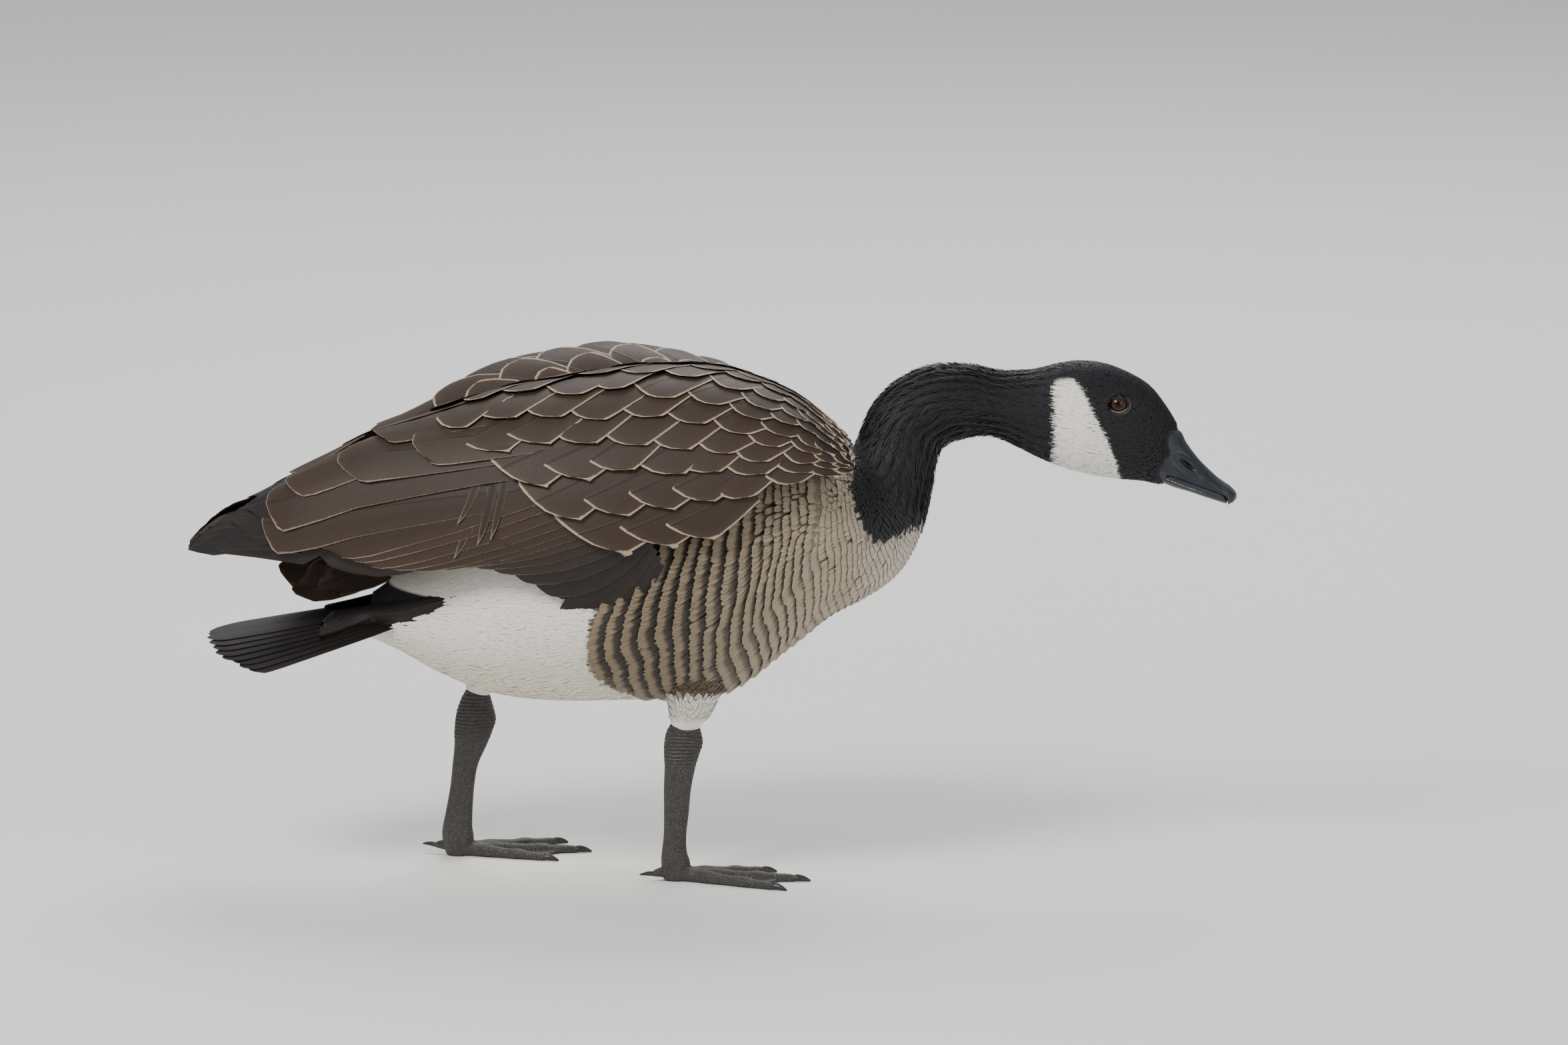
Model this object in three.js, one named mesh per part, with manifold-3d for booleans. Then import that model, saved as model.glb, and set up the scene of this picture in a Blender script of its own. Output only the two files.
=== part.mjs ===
// A Canada goose at life size, walking with its neck low and its head held out ahead of it.
// Millimetres. +X is ahead of the bird, +Y is its left and +Z is up. The origin is on the floor,
// under the middle of the bird's whole length, on its mirror plane.
import * as THREE from "three";
import { mergeVertices } from "three/addons/utils/BufferGeometryUtils.js";
import Module from "manifold-3d";

const wasm = await Module();
wasm.setup();

// Driving sizes
const PART_GAP = 0.3; // clear space between neighbouring pieces
const BODY_SIDES = 20; // corners of one ring round the body
const BODY_STEPS = 2; // rings for each span of the body's stations
const WING_SIDES = 16;
const WING_MIDLINE = 2; // half the gap between the two wings along the back
const WING_REACH = 140; // a width beyond the wing's outer side
const WING_CEILING = 360; // a height above the back
const EYE_RADIUS = 6.8;
const EYE_CENTRE = { x: 267, y: 16.2, z: 314 };
const LIMB_SIDES = 14;
const TOE_TIP_HEIGHT = 5;
const CLAW_LENGTH = 9;
const HIND_TOE = { length: 17, halfWidth: 3, rise: 9, turn: 28, lift: 1 }; // its angles in degrees
const WEB_THICKNESS = 2;

// The body from the root of the tail to the root of the bill. A row holds the upper outline's point
// (x, z), the lower outline's point (x, z), half the width, and how far down the widest level lies.
const BODY = [
  [-223.5, 189, -228.8, 154, 26, 0.5], // root of the tail
  [-204, 205, -206, 144, 44, 0.5],
  [-175, 229, -178.6, 128, 62, 0.52], // vent
  [-142, 263, -145, 115, 78, 0.56],
  [-102.5, 300, -106.5, 110, 90, 0.6], // belly
  [-61, 320, -63, 110.3, 97, 0.62],
  [-17, 323, -20, 111.5, 98, 0.6], // flanks, the widest place
  [18.5, 315.5, 12, 117, 95, 0.56],
  [49, 304, 50, 146, 88, 0.52], // shoulders
  [72, 292.5, 77, 167, 76, 0.5],
  [85.5, 286, 103, 180.5, 62, 0.5], // breast
  [91, 284, 125, 198, 48, 0.5],
  [94, 287, 138, 222, 36, 0.5], // root of the neck
  [97, 295, 145.6, 250.6, 28.5, 0.5],
  [101, 305.5, 148.7, 270, 26, 0.5],
  [110, 318.5, 152.5, 280.5, 25, 0.5], // the neck's bend
  [124, 330, 158, 285, 24.5, 0.5],
  [144, 338, 166, 288, 24, 0.5],
  [168, 338.4, 178.6, 290, 23, 0.5], // top of the arch
  [189, 334.5, 189, 288.5, 22.5, 0.5],
  [210, 335, 203, 281.5, 23.5, 0.52], // nape
  [226.6, 338.6, 219, 273.5, 25.5, 0.55],
  [242.4, 340.8, 235, 267.6, 27, 0.56], // cheeks
  [258, 339, 254, 263, 26.5, 0.55],
  [273.7, 333, 271, 261, 24, 0.54], // eyes
  [288, 324, 283.4, 260, 20.5, 0.54],
  [298, 311.5, 290.4, 258.6, 17, 0.53],
  [305, 300, 295, 257.8, 14, 0.52],
  [308.4, 292.6, 297, 257.3, 12.5, 0.5], // root of the bill
];
// Where the body is parted, as places along the rows above.
const BODY_PARTS = [
  ["rump", 0, 2.5],
  ["belly", 2.5, 6],
  ["breast", 6, 10.5],
  ["neck_lower", 10.5, 14.5],
  ["neck_upper", 14.5, 20],
  ["head", 20, 28],
];

// The two halves of the bill, in rows of the same kind.
const BILL_UPPER = [
  [308.9, 292.3, 300.4, 264.4, 12, 0.8],
  [312.7, 285, 308, 261.5, 11.5, 0.8],
  [320.5, 274.6, 316.8, 258.4, 11, 0.8],
  [328.3, 266.6, 325.6, 255.3, 10.6, 0.78],
  [336.2, 259.5, 333.5, 252.4, 10.3, 0.72],
  [341, 256.2, 338.4, 250.2, 9.3, 0.65],
  [344.6, 251.5, 341, 246.1, 7, 0.55],
  [345.2, 247.8, 342.8, 243, 3.5, 0.5],
];
const BILL_LOWER = [
  [299.2, 263.3, 296.6, 258, 10.5, 0.3],
  [307.4, 260.8, 304.9, 255.6, 10, 0.3],
  [316.3, 257.7, 314.7, 252.6, 9.3, 0.3],
  [325.6, 254.5, 324.2, 249.2, 8.8, 0.3],
  [333.4, 251.6, 332.2, 246.4, 8, 0.35],
  [337.9, 249, 337, 244.8, 6.5, 0.4],
  [339.6, 246.5, 339.2, 244.1, 3.5, 0.5],
];

// One folded wing as a rounded lobe beside the mirror plane. A row holds x, the top, the bottom,
// the lobe's middle measured out from the mirror plane, and half its width.
const WING = [
  [91, 288, 263, 62, 8],
  [84, 300, 235, 55, 25],
  [67, 314, 210, 47, 43],
  [50, 325, 190, 42, 55],
  [25, 335, 168, 38, 64],
  [0, 340.5, 155, 36, 69],
  [-34, 341.5, 150, 35, 71],
  [-67, 338, 150, 35, 71],
  [-101, 332, 155, 34, 69],
  [-135, 325, 162, 33, 64],
  [-166, 315, 165, 31, 57],
  [-197, 304, 168, 29, 50],
  [-223, 295, 168, 28, 43],
  [-250, 280.5, 168, 26, 37],
  [-276, 266, 168, 23, 31],
  [-300, 252, 195, 17, 18],
  [-325, 240, 210, 12, 10],
  [-345, 220, 213, 9, 4],
];

// How much higher the left wing's top lies than the right one's, row by row.
const LEFT_WING_LIFT = [-16, -18, -18, -17, -14, -9, -2, 5, 7, 7, 3, -4, -6, -6, -5, -4, -2, 0];

// Outlines on the wing seen from the side, as (x, z) points from front to rear.
const WING_FRONT_EDGE = [
  [98, 277],
  [47, 272],
  [16, 263],
  [-14, 258],
  [-40, 238],
  [-54, 225],
];
const SECONDARY_HEM = [
  [-72, 184],
  [-86, 182],
  [-100, 186],
  [-108, 196],
  [-126, 206],
  [-149, 210],
  [-176, 209],
  [-190, 206],
];
const SECONDARY_TIPS = [
  [-203, 202],
  [-218, 199.5],
  [-236, 201.5],
  [-250, 206],
  [-257, 212],
  [-256, 219],
  [-250, 227],
];
// The far wing hangs a little lower at its rear, over the tail.
const LOW_SECONDARY_TIPS = [
  [-203, 200],
  [-222, 193],
  [-241, 184],
  [-258, 178],
  [-275, 178],
  [-285, 184],
  [-283, 200],
  [-262, 222],
];
const PRIMARY_HEM = [
  [-262, 226],
  [-296, 220.5],
  [-330, 215.5],
  [-350, 212],
];
const TERTIAL_TIPS = [
  [-286, 300],
  [-288, 272],
  [-291, 263],
  [-291, 257],
  [-288, 252],
  [-293, 247],
  [-294.5, 240],
  [-288, 233],
  [-275, 228],
];
const TERTIAL_HEM = [
  [-153, 276],
  [-180, 262],
  [-212, 248],
  [-240, 236],
];
const COVERT_HEM = [
  [-57, 222],
  [-72, 229],
  [-90, 242],
  [-104, 253],
  [-118, 263],
  [-135, 273],
];
const COVERT_TOP = [
  [-178, 295],
  [-190, 320],
];
const SCAPULAR_HEM = [
  [100, 281],
  [47, 277],
  [21, 275],
  [-30, 280],
  [-74, 288],
  [-118, 303],
  [-150, 303],
  [-170, 299],
];

// The tail: sixteen feathers in a fan, with its near side lower.
const TAIL = {
  pivot: new THREE.Vector3(-188, 0, 178),
  dip: 9.5, // degrees below level
  roll: 6, // degrees, right side down
  spread: 25, // degrees each side of the middle
  feathers: 16,
  middleLength: 149,
  outerLength: 120,
  start: 12,
  arch: 7, // how far the outer feathers lie below the middle ones
  shingle: 0.9, // step from one feather down to the next
  rootThickness: 5,
  tipThickness: 1.6,
};

// Legs as rings from the top down: x, y, z, half the length along X and half the width along Y.
const RIGHT_LEG = {
  thigh: [
    [-10, -50, 150, 27, 21],
    [-12, -46, 126, 20, 16],
    [-14, -44, 113, 16, 13.5],
    [-17.8, -42.5, 100.6, 11.2, 10],
  ],
  shank: [
    [-18.5, -42.5, 100, 11.3, 8.6],
    [-18.6, -42, 92.5, 12.8, 8.8],
    [-19.8, -42, 85, 11.9, 8],
    [-20.9, -42, 76.5, 10.4, 6.8],
    [-22.7, -42, 61, 9.1, 5.8],
    [-23.4, -42, 45, 8.3, 5.4],
    [-24.4, -42, 30, 7.6, 5.6],
    [-24.8, -42, 19, 8.4, 6.8],
    [-24, -42, 12.4, 9.6, 8.4],
  ],
  heel: [-24, -42],
  heading: -4,
};
const LEFT_LEG = {
  thigh: [
    [-136, 48, 160, 28, 20],
    [-146, 45, 136, 20, 15.5],
    [-152, 43, 119, 12.5, 11.5],
    [-156.5, 42, 107.6, 9.8, 9],
  ],
  shank: [
    [-157, 42, 107, 9.6, 8],
    [-157.4, 42, 99, 12.2, 8.8],
    [-157.5, 42, 91.5, 13.6, 8.8],
    [-159.2, 42, 83, 12.6, 8],
    [-161, 42, 74, 10.8, 6.8],
    [-164.5, 42, 61, 8.6, 5.8],
    [-166.6, 42, 46, 8.1, 5.4],
    [-168.6, 42, 30, 9, 5.8],
    [-169.8, 42, 19, 10, 7],
    [-169.5, 42, 12.4, 10.6, 8.4],
  ],
  heel: [-169.5, 42],
  heading: 5,
};
// Toes of one foot: name, degrees towards the bird's middle, length, half width at the root.
const TOES = [
  ["inner", 24, 62, 4.6],
  ["middle", 0, 80, 5.2],
  ["outer", -23, 73, 4.8],
];

const COLOURS = {
  black: { color: 0x17161a, roughness: 0.8 },
  brown: { color: 0x4a3a2e, roughness: 0.75 },
  dark: { color: 0x231e1c, roughness: 0.7 },
  tan: { color: 0x8c7a62, roughness: 0.85 },
  white: { color: 0xe9e4d6, roughness: 0.9 },
  bill: { color: 0x22262c, roughness: 0.4 },
  leg: { color: 0x35322f, roughness: 0.6 },
  eye: { color: 0x2a1409, roughness: 0.05 },
};
const materials = Object.fromEntries(
  Object.entries(COLOURS).map(([name, look]) => [name, new THREE.MeshStandardMaterial(look)]),
);

// Solids and meshes

function solidOf(geometry) {
  const bare = geometry.clone();
  bare.deleteAttribute("normal");
  bare.deleteAttribute("uv");
  const merged = mergeVertices(bare, 1e-4);
  const triVerts = new Uint32Array(merged.index.array);
  const vertProperties = new Float32Array(merged.attributes.position.array);
  const made = new wasm.Manifold(new wasm.Mesh({ numProp: 3, vertProperties, triVerts }));
  if (made.volume() > 0) return made;
  for (let i = 0; i < triVerts.length; i += 3) {
    [triVerts[i + 1], triVerts[i + 2]] = [triVerts[i + 2], triVerts[i + 1]];
  }
  return new wasm.Manifold(new wasm.Mesh({ numProp: 3, vertProperties, triVerts }));
}

function meshOf(name, solid, material) {
  const { numProp, numVert, vertProperties, triVerts } = solid.getMesh();
  const position = new Float32Array(numVert * 3);
  for (let i = 0; i < numVert; i++) {
    position.set(vertProperties.subarray(i * numProp, i * numProp + 3), i * 3);
  }
  const geometry = new THREE.BufferGeometry();
  geometry.setAttribute("position", new THREE.BufferAttribute(position, 3));
  geometry.setIndex(new THREE.BufferAttribute(triVerts, 1));
  geometry.computeVertexNormals();
  const mesh = new THREE.Mesh(geometry, material);
  mesh.name = name;
  return mesh;
}

// A closed solid through rings of equally many points, with a flat end on the first and last.
function loft(rings) {
  const sides = rings[0].length;
  const points = rings.flat();
  const index = [];
  rings.slice(1).forEach((ring, r) => {
    for (let i = 0; i < sides; i++) {
      const a = r * sides + i;
      const b = r * sides + ((i + 1) % sides);
      index.push(a, b, a + sides, b, b + sides, a + sides);
    }
  });
  const last = (rings.length - 1) * sides;
  for (let i = 1; i < sides - 1; i++) {
    index.push(0, i + 1, i, last, last + i, last + i + 1);
  }
  const geometry = new THREE.BufferGeometry();
  geometry.setAttribute("position", new THREE.Float32BufferAttribute(points.flat(), 3));
  geometry.setIndex(index);
  return solidOf(geometry);
}

// The value of a table of rows at a place between them, by a smooth curve through the rows.
function rowAt(rows, place) {
  const i = Math.min(Math.floor(place), rows.length - 2);
  const t = place - i;
  const [a, b, c, d] = [i - 1, i, i + 1, i + 2].map(
    (k) => rows[Math.max(0, Math.min(rows.length - 1, k))],
  );
  return b.map((value, k) => {
    const slope = (c[k] - a[k]) / 2;
    const next = (d[k] - value) / 2;
    const rise = c[k] - value;
    return value + t * (slope + t * (3 * rise - 2 * slope - next + t * (slope + next - 2 * rise)));
  });
}

// A ring spanned between an upper and a lower outline point, bulging to halfWidth each side.
function spannedRing([upX, upZ, lowX, lowZ, halfWidth, widest], sides, grow = 0, along = 0) {
  const height = Math.hypot(upX - lowX, upZ - lowZ);
  const [ux, uz] = [(upX - lowX) / height, (upZ - lowZ) / height];
  const middleX = upX - ux * height * widest + uz * along;
  const middleZ = upZ - uz * height * widest - ux * along;
  return Array.from({ length: sides }, (_, i) => {
    const turn = (2 * Math.PI * i) / sides;
    const up = Math.cos(turn);
    const reach = (up > 0 ? height * widest : height * (1 - widest)) + grow;
    return [middleX + ux * up * reach, Math.sin(turn) * (halfWidth + grow), middleZ + uz * up * reach];
  });
}

// Part of a spanned body between two places on its rows, drawn in by half a gap at both ends.
function section(rows, from, to, { sides, steps, grow = 0, inset = PART_GAP / 2 }) {
  const places = [from];
  for (let k = Math.floor(from * steps) + 1; k < to * steps; k++) places.push(k / steps);
  places.push(to);
  const rings = places.map((place) => {
    const along = place === from ? inset : place === to ? -inset : 0;
    return spannedRing(rowAt(rows, place), sides, grow, along);
  });
  return loft(rings);
}

// A side outline pushed through the whole width of the bird on one side of the mirror plane.
function prism(outline, side) {
  const shape = new THREE.Shape(outline.map(([x, z]) => new THREE.Vector2(x, z)));
  const geometry = new THREE.ExtrudeGeometry(shape, { depth: WING_REACH, bevelEnabled: false });
  geometry.rotateX(Math.PI / 2);
  geometry.translate(0, side > 0 ? WING_REACH + WING_MIDLINE : -WING_MIDLINE, 0);
  return solidOf(geometry);
}

const shifted = (outline, dx, dz) => outline.map(([x, z]) => [x + dx, z + dz]);
const reversed = (outline) => [...outline].reverse();

// Body, neck and head

const bodyClear = section(BODY, 0, BODY.length - 1, {
  sides: BODY_SIDES,
  steps: BODY_STEPS,
  grow: PART_GAP * 2,
  inset: -PART_GAP * 2,
});
const bodyParts = new Map(
  BODY_PARTS.map(([name, from, to]) => [
    name,
    section(BODY, from, to, { sides: BODY_SIDES, steps: BODY_STEPS }),
  ]),
);

function eyeBall(side, radius) {
  const ball = new THREE.SphereGeometry(radius, 10, 7);
  ball.translate(EYE_CENTRE.x, side * EYE_CENTRE.y, EYE_CENTRE.z);
  return solidOf(ball);
}

const sockets = eyeBall(-1, EYE_RADIUS + PART_GAP).add(eyeBall(1, EYE_RADIUS + PART_GAP));
bodyParts.set("head", bodyParts.get("head").subtract(sockets));

const billRings = (rows) => rows.map((row) => spannedRing(row, LIMB_SIDES));
const billUpper = loft(billRings(BILL_UPPER)).subtract(bodyClear);
const billLower = loft(billRings(BILL_LOWER)).subtract(bodyClear);

// Tail

// A fan of long feathers as one closed plate: each feather has a rounded tip and lies a step
// below the one nearer the middle.
function tailFan(clearance = 0) {
  const perFeather = 2;
  const rows = [0, 0.93, 1];
  const columns = TAIL.feathers * perFeather;
  const rear = new THREE.Vector3(-1, 0, 0).applyAxisAngle(
    new THREE.Vector3(0, 1, 0),
    THREE.MathUtils.degToRad(-TAIL.dip),
  );
  const across = new THREE.Vector3(0, 1, 0).applyAxisAngle(rear, -THREE.MathUtils.degToRad(TAIL.roll));
  const up = new THREE.Vector3().crossVectors(across, rear);
  if (up.z < 0) up.negate();
  const surface = (column, row, lift) => {
    const place = (column / columns) * 2 - 1;
    const inFeather = (column % perFeather) / perFeather;
    const outward = place < 0 ? 1 - inFeather : inFeather;
    const bow = column % perFeather === 0 ? 0 : 5;
    const full = THREE.MathUtils.lerp(TAIL.middleLength, TAIL.outerLength, place * place) + bow;
    const length = TAIL.start + (full - TAIL.start) * rows[row];
    const angle = THREE.MathUtils.degToRad(TAIL.spread * place);
    const thick = THREE.MathUtils.lerp(TAIL.rootThickness, TAIL.tipThickness, rows[row]);
    const drop = TAIL.arch * place * place * rows[row] - TAIL.shingle * outward;
    return TAIL.pivot
      .clone()
      .addScaledVector(rear, length * Math.cos(angle))
      .addScaledVector(across, length * Math.sin(angle))
      .addScaledVector(up, lift * (thick / 2 + clearance) - drop)
      .toArray();
  };
  const rings = Array.from({ length: columns + 1 }, (_, column) => [
    ...rows.map((_row, r) => surface(column, r, 1)),
    ...reversed(rows.map((_row, r) => surface(column, r, -1))),
  ]);
  return loft(rings);
}

const tail = tailFan().subtract(bodyClear);

// Wings

// A lobe's ring: a round section whose middle stands off the mirror plane.
function lobeRing([x, top, bottom, middle, halfWidth], side) {
  return Array.from({ length: WING_SIDES }, (_, i) => {
    const turn = (2 * Math.PI * i) / WING_SIDES;
    const y = middle + Math.sin(turn) * halfWidth;
    const z = (top + bottom) / 2 + (Math.cos(turn) * (top - bottom)) / 2;
    return [x, side * y, z];
  });
}

function wingPieces(sideName, side, rows, secondaryTips) {
  const lobe = loft(rows.map((row) => lobeRing(row, side)));
  const whole = lobe.subtract(bodyClear).subtract(tailFan(PART_GAP * 2));
  const gap = PART_GAP * 2;
  const zones = {
    scapulars: [
      [110, WING_CEILING],
      ...SCAPULAR_HEM,
      [-178, 296],
      ...COVERT_TOP.slice(1),
      [-190, WING_CEILING],
    ],
    coverts: [
      ...shifted(SCAPULAR_HEM, 0, -gap),
      [-178 + gap, 295],
      [-153 + gap, 276 + gap],
      ...reversed(COVERT_HEM),
      ...reversed(WING_FRONT_EDGE),
    ],
    secondaries: [
      ...shifted([...COVERT_HEM, ...TERTIAL_HEM], -gap * 0.7, -gap * 0.7),
      [-262, 226 - gap],
      ...reversed(secondaryTips),
      ...reversed(SECONDARY_HEM),
      [-62, 202],
    ],
    tertials: [
      ...TERTIAL_HEM,
      [-262, 226],
      ...reversed(TERTIAL_TIPS),
      [-286, WING_CEILING],
      [-190 - gap, WING_CEILING],
      ...shifted(reversed(COVERT_TOP), -gap, 0),
    ],
    primaries: [
      ...shifted(TERTIAL_TIPS, -gap, 0),
      ...shifted(PRIMARY_HEM, -gap, 0),
      [-360, 212],
      [-360, WING_CEILING],
      [-286 - gap, WING_CEILING],
    ],
  };
  return Object.entries(zones).map(([zone, outline]) => {
    const cut = whole.intersect(prism(outline, side));
    const largest = cut.decompose().sort((a, b) => b.volume() - a.volume())[0];
    const material = zone === "primaries" ? materials.dark : materials.brown;
    return meshOf(`wing_${sideName}_${zone}`, largest, material);
  });
}

// Legs and feet

function limb(rows) {
  const rings = rows.map(([x, y, z, halfLength, halfWidth]) =>
    Array.from({ length: LIMB_SIDES }, (_, i) => {
      const turn = (2 * Math.PI * i) / LIMB_SIDES;
      return [x + Math.cos(turn) * halfLength, y + Math.sin(turn) * halfWidth, z];
    }),
  );
  return loft(rings);
}

// A toe lying along +X from the origin: flat below, arched above, swollen at its joints.
function toeSolid(length, halfWidth) {
  const joints = [
    [-6, 1.2, 9],
    [6, 1.05, 9.5],
    [length * 0.35, 0.85, 7.6],
    [length * 0.45, 1, 8],
    [length * 0.7, 0.74, 6.2],
    [length, 0.45, TOE_TIP_HEIGHT * 0.8],
  ];
  const rings = joints.map(([x, share, height]) => {
    const half = halfWidth * share;
    return [
      [x, -half, 0],
      [x, half, 0],
      [x, half, height * 0.5],
      [x, half * 0.45, height],
      [x, -half * 0.45, height],
      [x, -half, height * 0.5],
    ];
  });
  return loft(rings);
}

function clawSolid(length, halfWidth) {
  const rings = [
    [0, 1, TOE_TIP_HEIGHT, 0.4],
    [3, 0.85, TOE_TIP_HEIGHT * 0.92, 0.3],
    [6, 0.55, TOE_TIP_HEIGHT * 0.66, 0.2],
    [CLAW_LENGTH, 0.2, 1.4, 0.1],
  ].map(([x, share, top, bottom]) => {
    const half = halfWidth * 0.5 * share;
    const middle = (top + bottom) / 2;
    return [
      [length + PART_GAP + x, -half, middle],
      [length + PART_GAP + x, -half * 0.6, bottom],
      [length + PART_GAP + x, half * 0.6, bottom],
      [length + PART_GAP + x, half, middle],
      [length + PART_GAP + x, 0, top],
    ];
  });
  return loft(rings);
}

// The web fills between the toes, with a hollow front edge between each two tips.
function webSolid(side) {
  const tips = TOES.map(([, angle, length]) => {
    const turn = THREE.MathUtils.degToRad(-side * angle);
    const reach = length * 0.93;
    return new THREE.Vector2(Math.cos(turn) * reach, Math.sin(turn) * reach);
  });
  const hollow = (a, b) => a.clone().add(b).multiplyScalar(0.5).multiplyScalar(0.84);
  const shape = new THREE.Shape();
  shape.moveTo(4, 0);
  shape.lineTo(tips[0].x, tips[0].y);
  for (const [from, to] of [[tips[0], tips[1]], [tips[1], tips[2]]]) {
    const dip = hollow(from, to);
    shape.quadraticCurveTo(dip.x, dip.y, to.x, to.y);
  }
  shape.lineTo(4, 0);
  return solidOf(
    new THREE.ExtrudeGeometry(shape, { depth: WEB_THICKNESS, bevelEnabled: false, curveSegments: 6 }),
  );
}

function legPieces(sideName, side, leg) {
  const place = (solid, angle = 0) =>
    solid
      .rotate([0, 0, leg.heading - side * angle])
      .translate([leg.heel[0], leg.heel[1], 0]);
  const knuckle = limb([
    [0, 0, 12, 9.4, 8],
    [0.5, 0, 6, 9.4, 8.4],
    [0.5, 0, 0, 8.8, 8],
  ]);
  const placeHind = (solid) =>
    solid
      .rotate([0, -HIND_TOE.rise, 0])
      .translate([0, 0, HIND_TOE.lift])
      .rotate([0, 0, 180 - side * HIND_TOE.turn]);
  let foot = knuckle.add(webSolid(side));
  for (const [, angle, length, halfWidth] of TOES) {
    foot = foot.add(toeSolid(length, halfWidth).rotate([0, 0, -side * angle]));
  }
  foot = foot.add(placeHind(toeSolid(HIND_TOE.length, HIND_TOE.halfWidth)));
  const pieces = [
    meshOf(`thigh_${sideName}`, limb(leg.thigh).subtract(bodyClear), materials.white),
    meshOf(`shank_${sideName}`, limb(leg.shank), materials.leg),
    meshOf(`foot_${sideName}`, place(foot), materials.leg),
  ];
  for (const [toe, angle, length, halfWidth] of TOES) {
    const claw = clawSolid(length, halfWidth);
    pieces.push(meshOf(`claw_${sideName}_${toe}`, place(claw, angle), materials.leg));
  }
  const hindClaw = clawSolid(HIND_TOE.length, HIND_TOE.halfWidth).scale([1, 1, 0.7]);
  pieces.push(meshOf(`claw_${sideName}_hind`, place(placeHind(hindClaw)), materials.leg));
  return pieces;
}

// The whole bird

const leftWing = WING.map(([x, top, ...rest], row) => [x, top + LEFT_WING_LIFT[row], ...rest]);
const goose = new THREE.Group();
const BODY_MATERIALS = {
  rump: materials.white,
  belly: materials.white,
  breast: materials.tan,
  neck_lower: materials.black,
  neck_upper: materials.black,
  head: materials.black,
};
for (const [name, solid] of bodyParts) goose.add(meshOf(name, solid, BODY_MATERIALS[name]));
goose.add(meshOf("bill_upper", billUpper, materials.bill));
goose.add(meshOf("bill_lower", billLower, materials.bill));
goose.add(meshOf("eye_right", eyeBall(-1, EYE_RADIUS), materials.eye));
goose.add(meshOf("eye_left", eyeBall(1, EYE_RADIUS), materials.eye));
goose.add(meshOf("tail", tail, materials.dark));
goose.add(...wingPieces("right", -1, WING, SECONDARY_TIPS));
goose.add(...wingPieces("left", 1, leftWing, LOW_SECONDARY_TIPS));
goose.add(...legPieces("right", -1, RIGHT_LEG));
goose.add(...legPieces("left", 1, LEFT_LEG));

export default goose;
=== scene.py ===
import math

import bmesh
import bpy
import numpy as np
from mathutils import Matrix, Vector


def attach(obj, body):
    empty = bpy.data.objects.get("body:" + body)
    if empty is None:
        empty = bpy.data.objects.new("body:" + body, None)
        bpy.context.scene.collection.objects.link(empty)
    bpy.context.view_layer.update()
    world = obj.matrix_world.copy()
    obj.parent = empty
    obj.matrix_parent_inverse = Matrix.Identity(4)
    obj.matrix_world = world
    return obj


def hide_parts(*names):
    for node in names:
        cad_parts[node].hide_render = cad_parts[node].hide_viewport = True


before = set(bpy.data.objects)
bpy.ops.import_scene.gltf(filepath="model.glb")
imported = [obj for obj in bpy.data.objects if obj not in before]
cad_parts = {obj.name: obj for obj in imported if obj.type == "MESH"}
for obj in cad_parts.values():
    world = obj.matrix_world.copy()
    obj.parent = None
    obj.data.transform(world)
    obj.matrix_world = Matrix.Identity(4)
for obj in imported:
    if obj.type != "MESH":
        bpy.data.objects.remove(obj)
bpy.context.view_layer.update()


# The camera stands at the photographer's place, on the bird's right side and about at eye
# height, and looks along +Y and a little down with a long lens.
def in_scene(name, data):
    """An object that is put into the scene."""
    thing = bpy.data.objects.new(name, data)
    bpy.context.scene.collection.objects.link(thing)
    return thing


CAMERA_AIM = Vector((0.0475, 0, 0.232))
CAMERA_DISTANCE = 8.62
CAMERA_ELEVATION = math.radians(10)
camera_data = bpy.data.cameras.new("camera")
camera_data.lens = 300
camera_data.sensor_width = 36
camera = in_scene("camera", camera_data)
camera_back = Vector((0, -math.cos(CAMERA_ELEVATION), math.sin(CAMERA_ELEVATION)))
camera.location = CAMERA_AIM + camera_back * CAMERA_DISTANCE
camera.rotation_euler = (-camera_back).to_track_quat("-Z", "Y").to_euler()
bpy.context.scene.camera = camera

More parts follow.
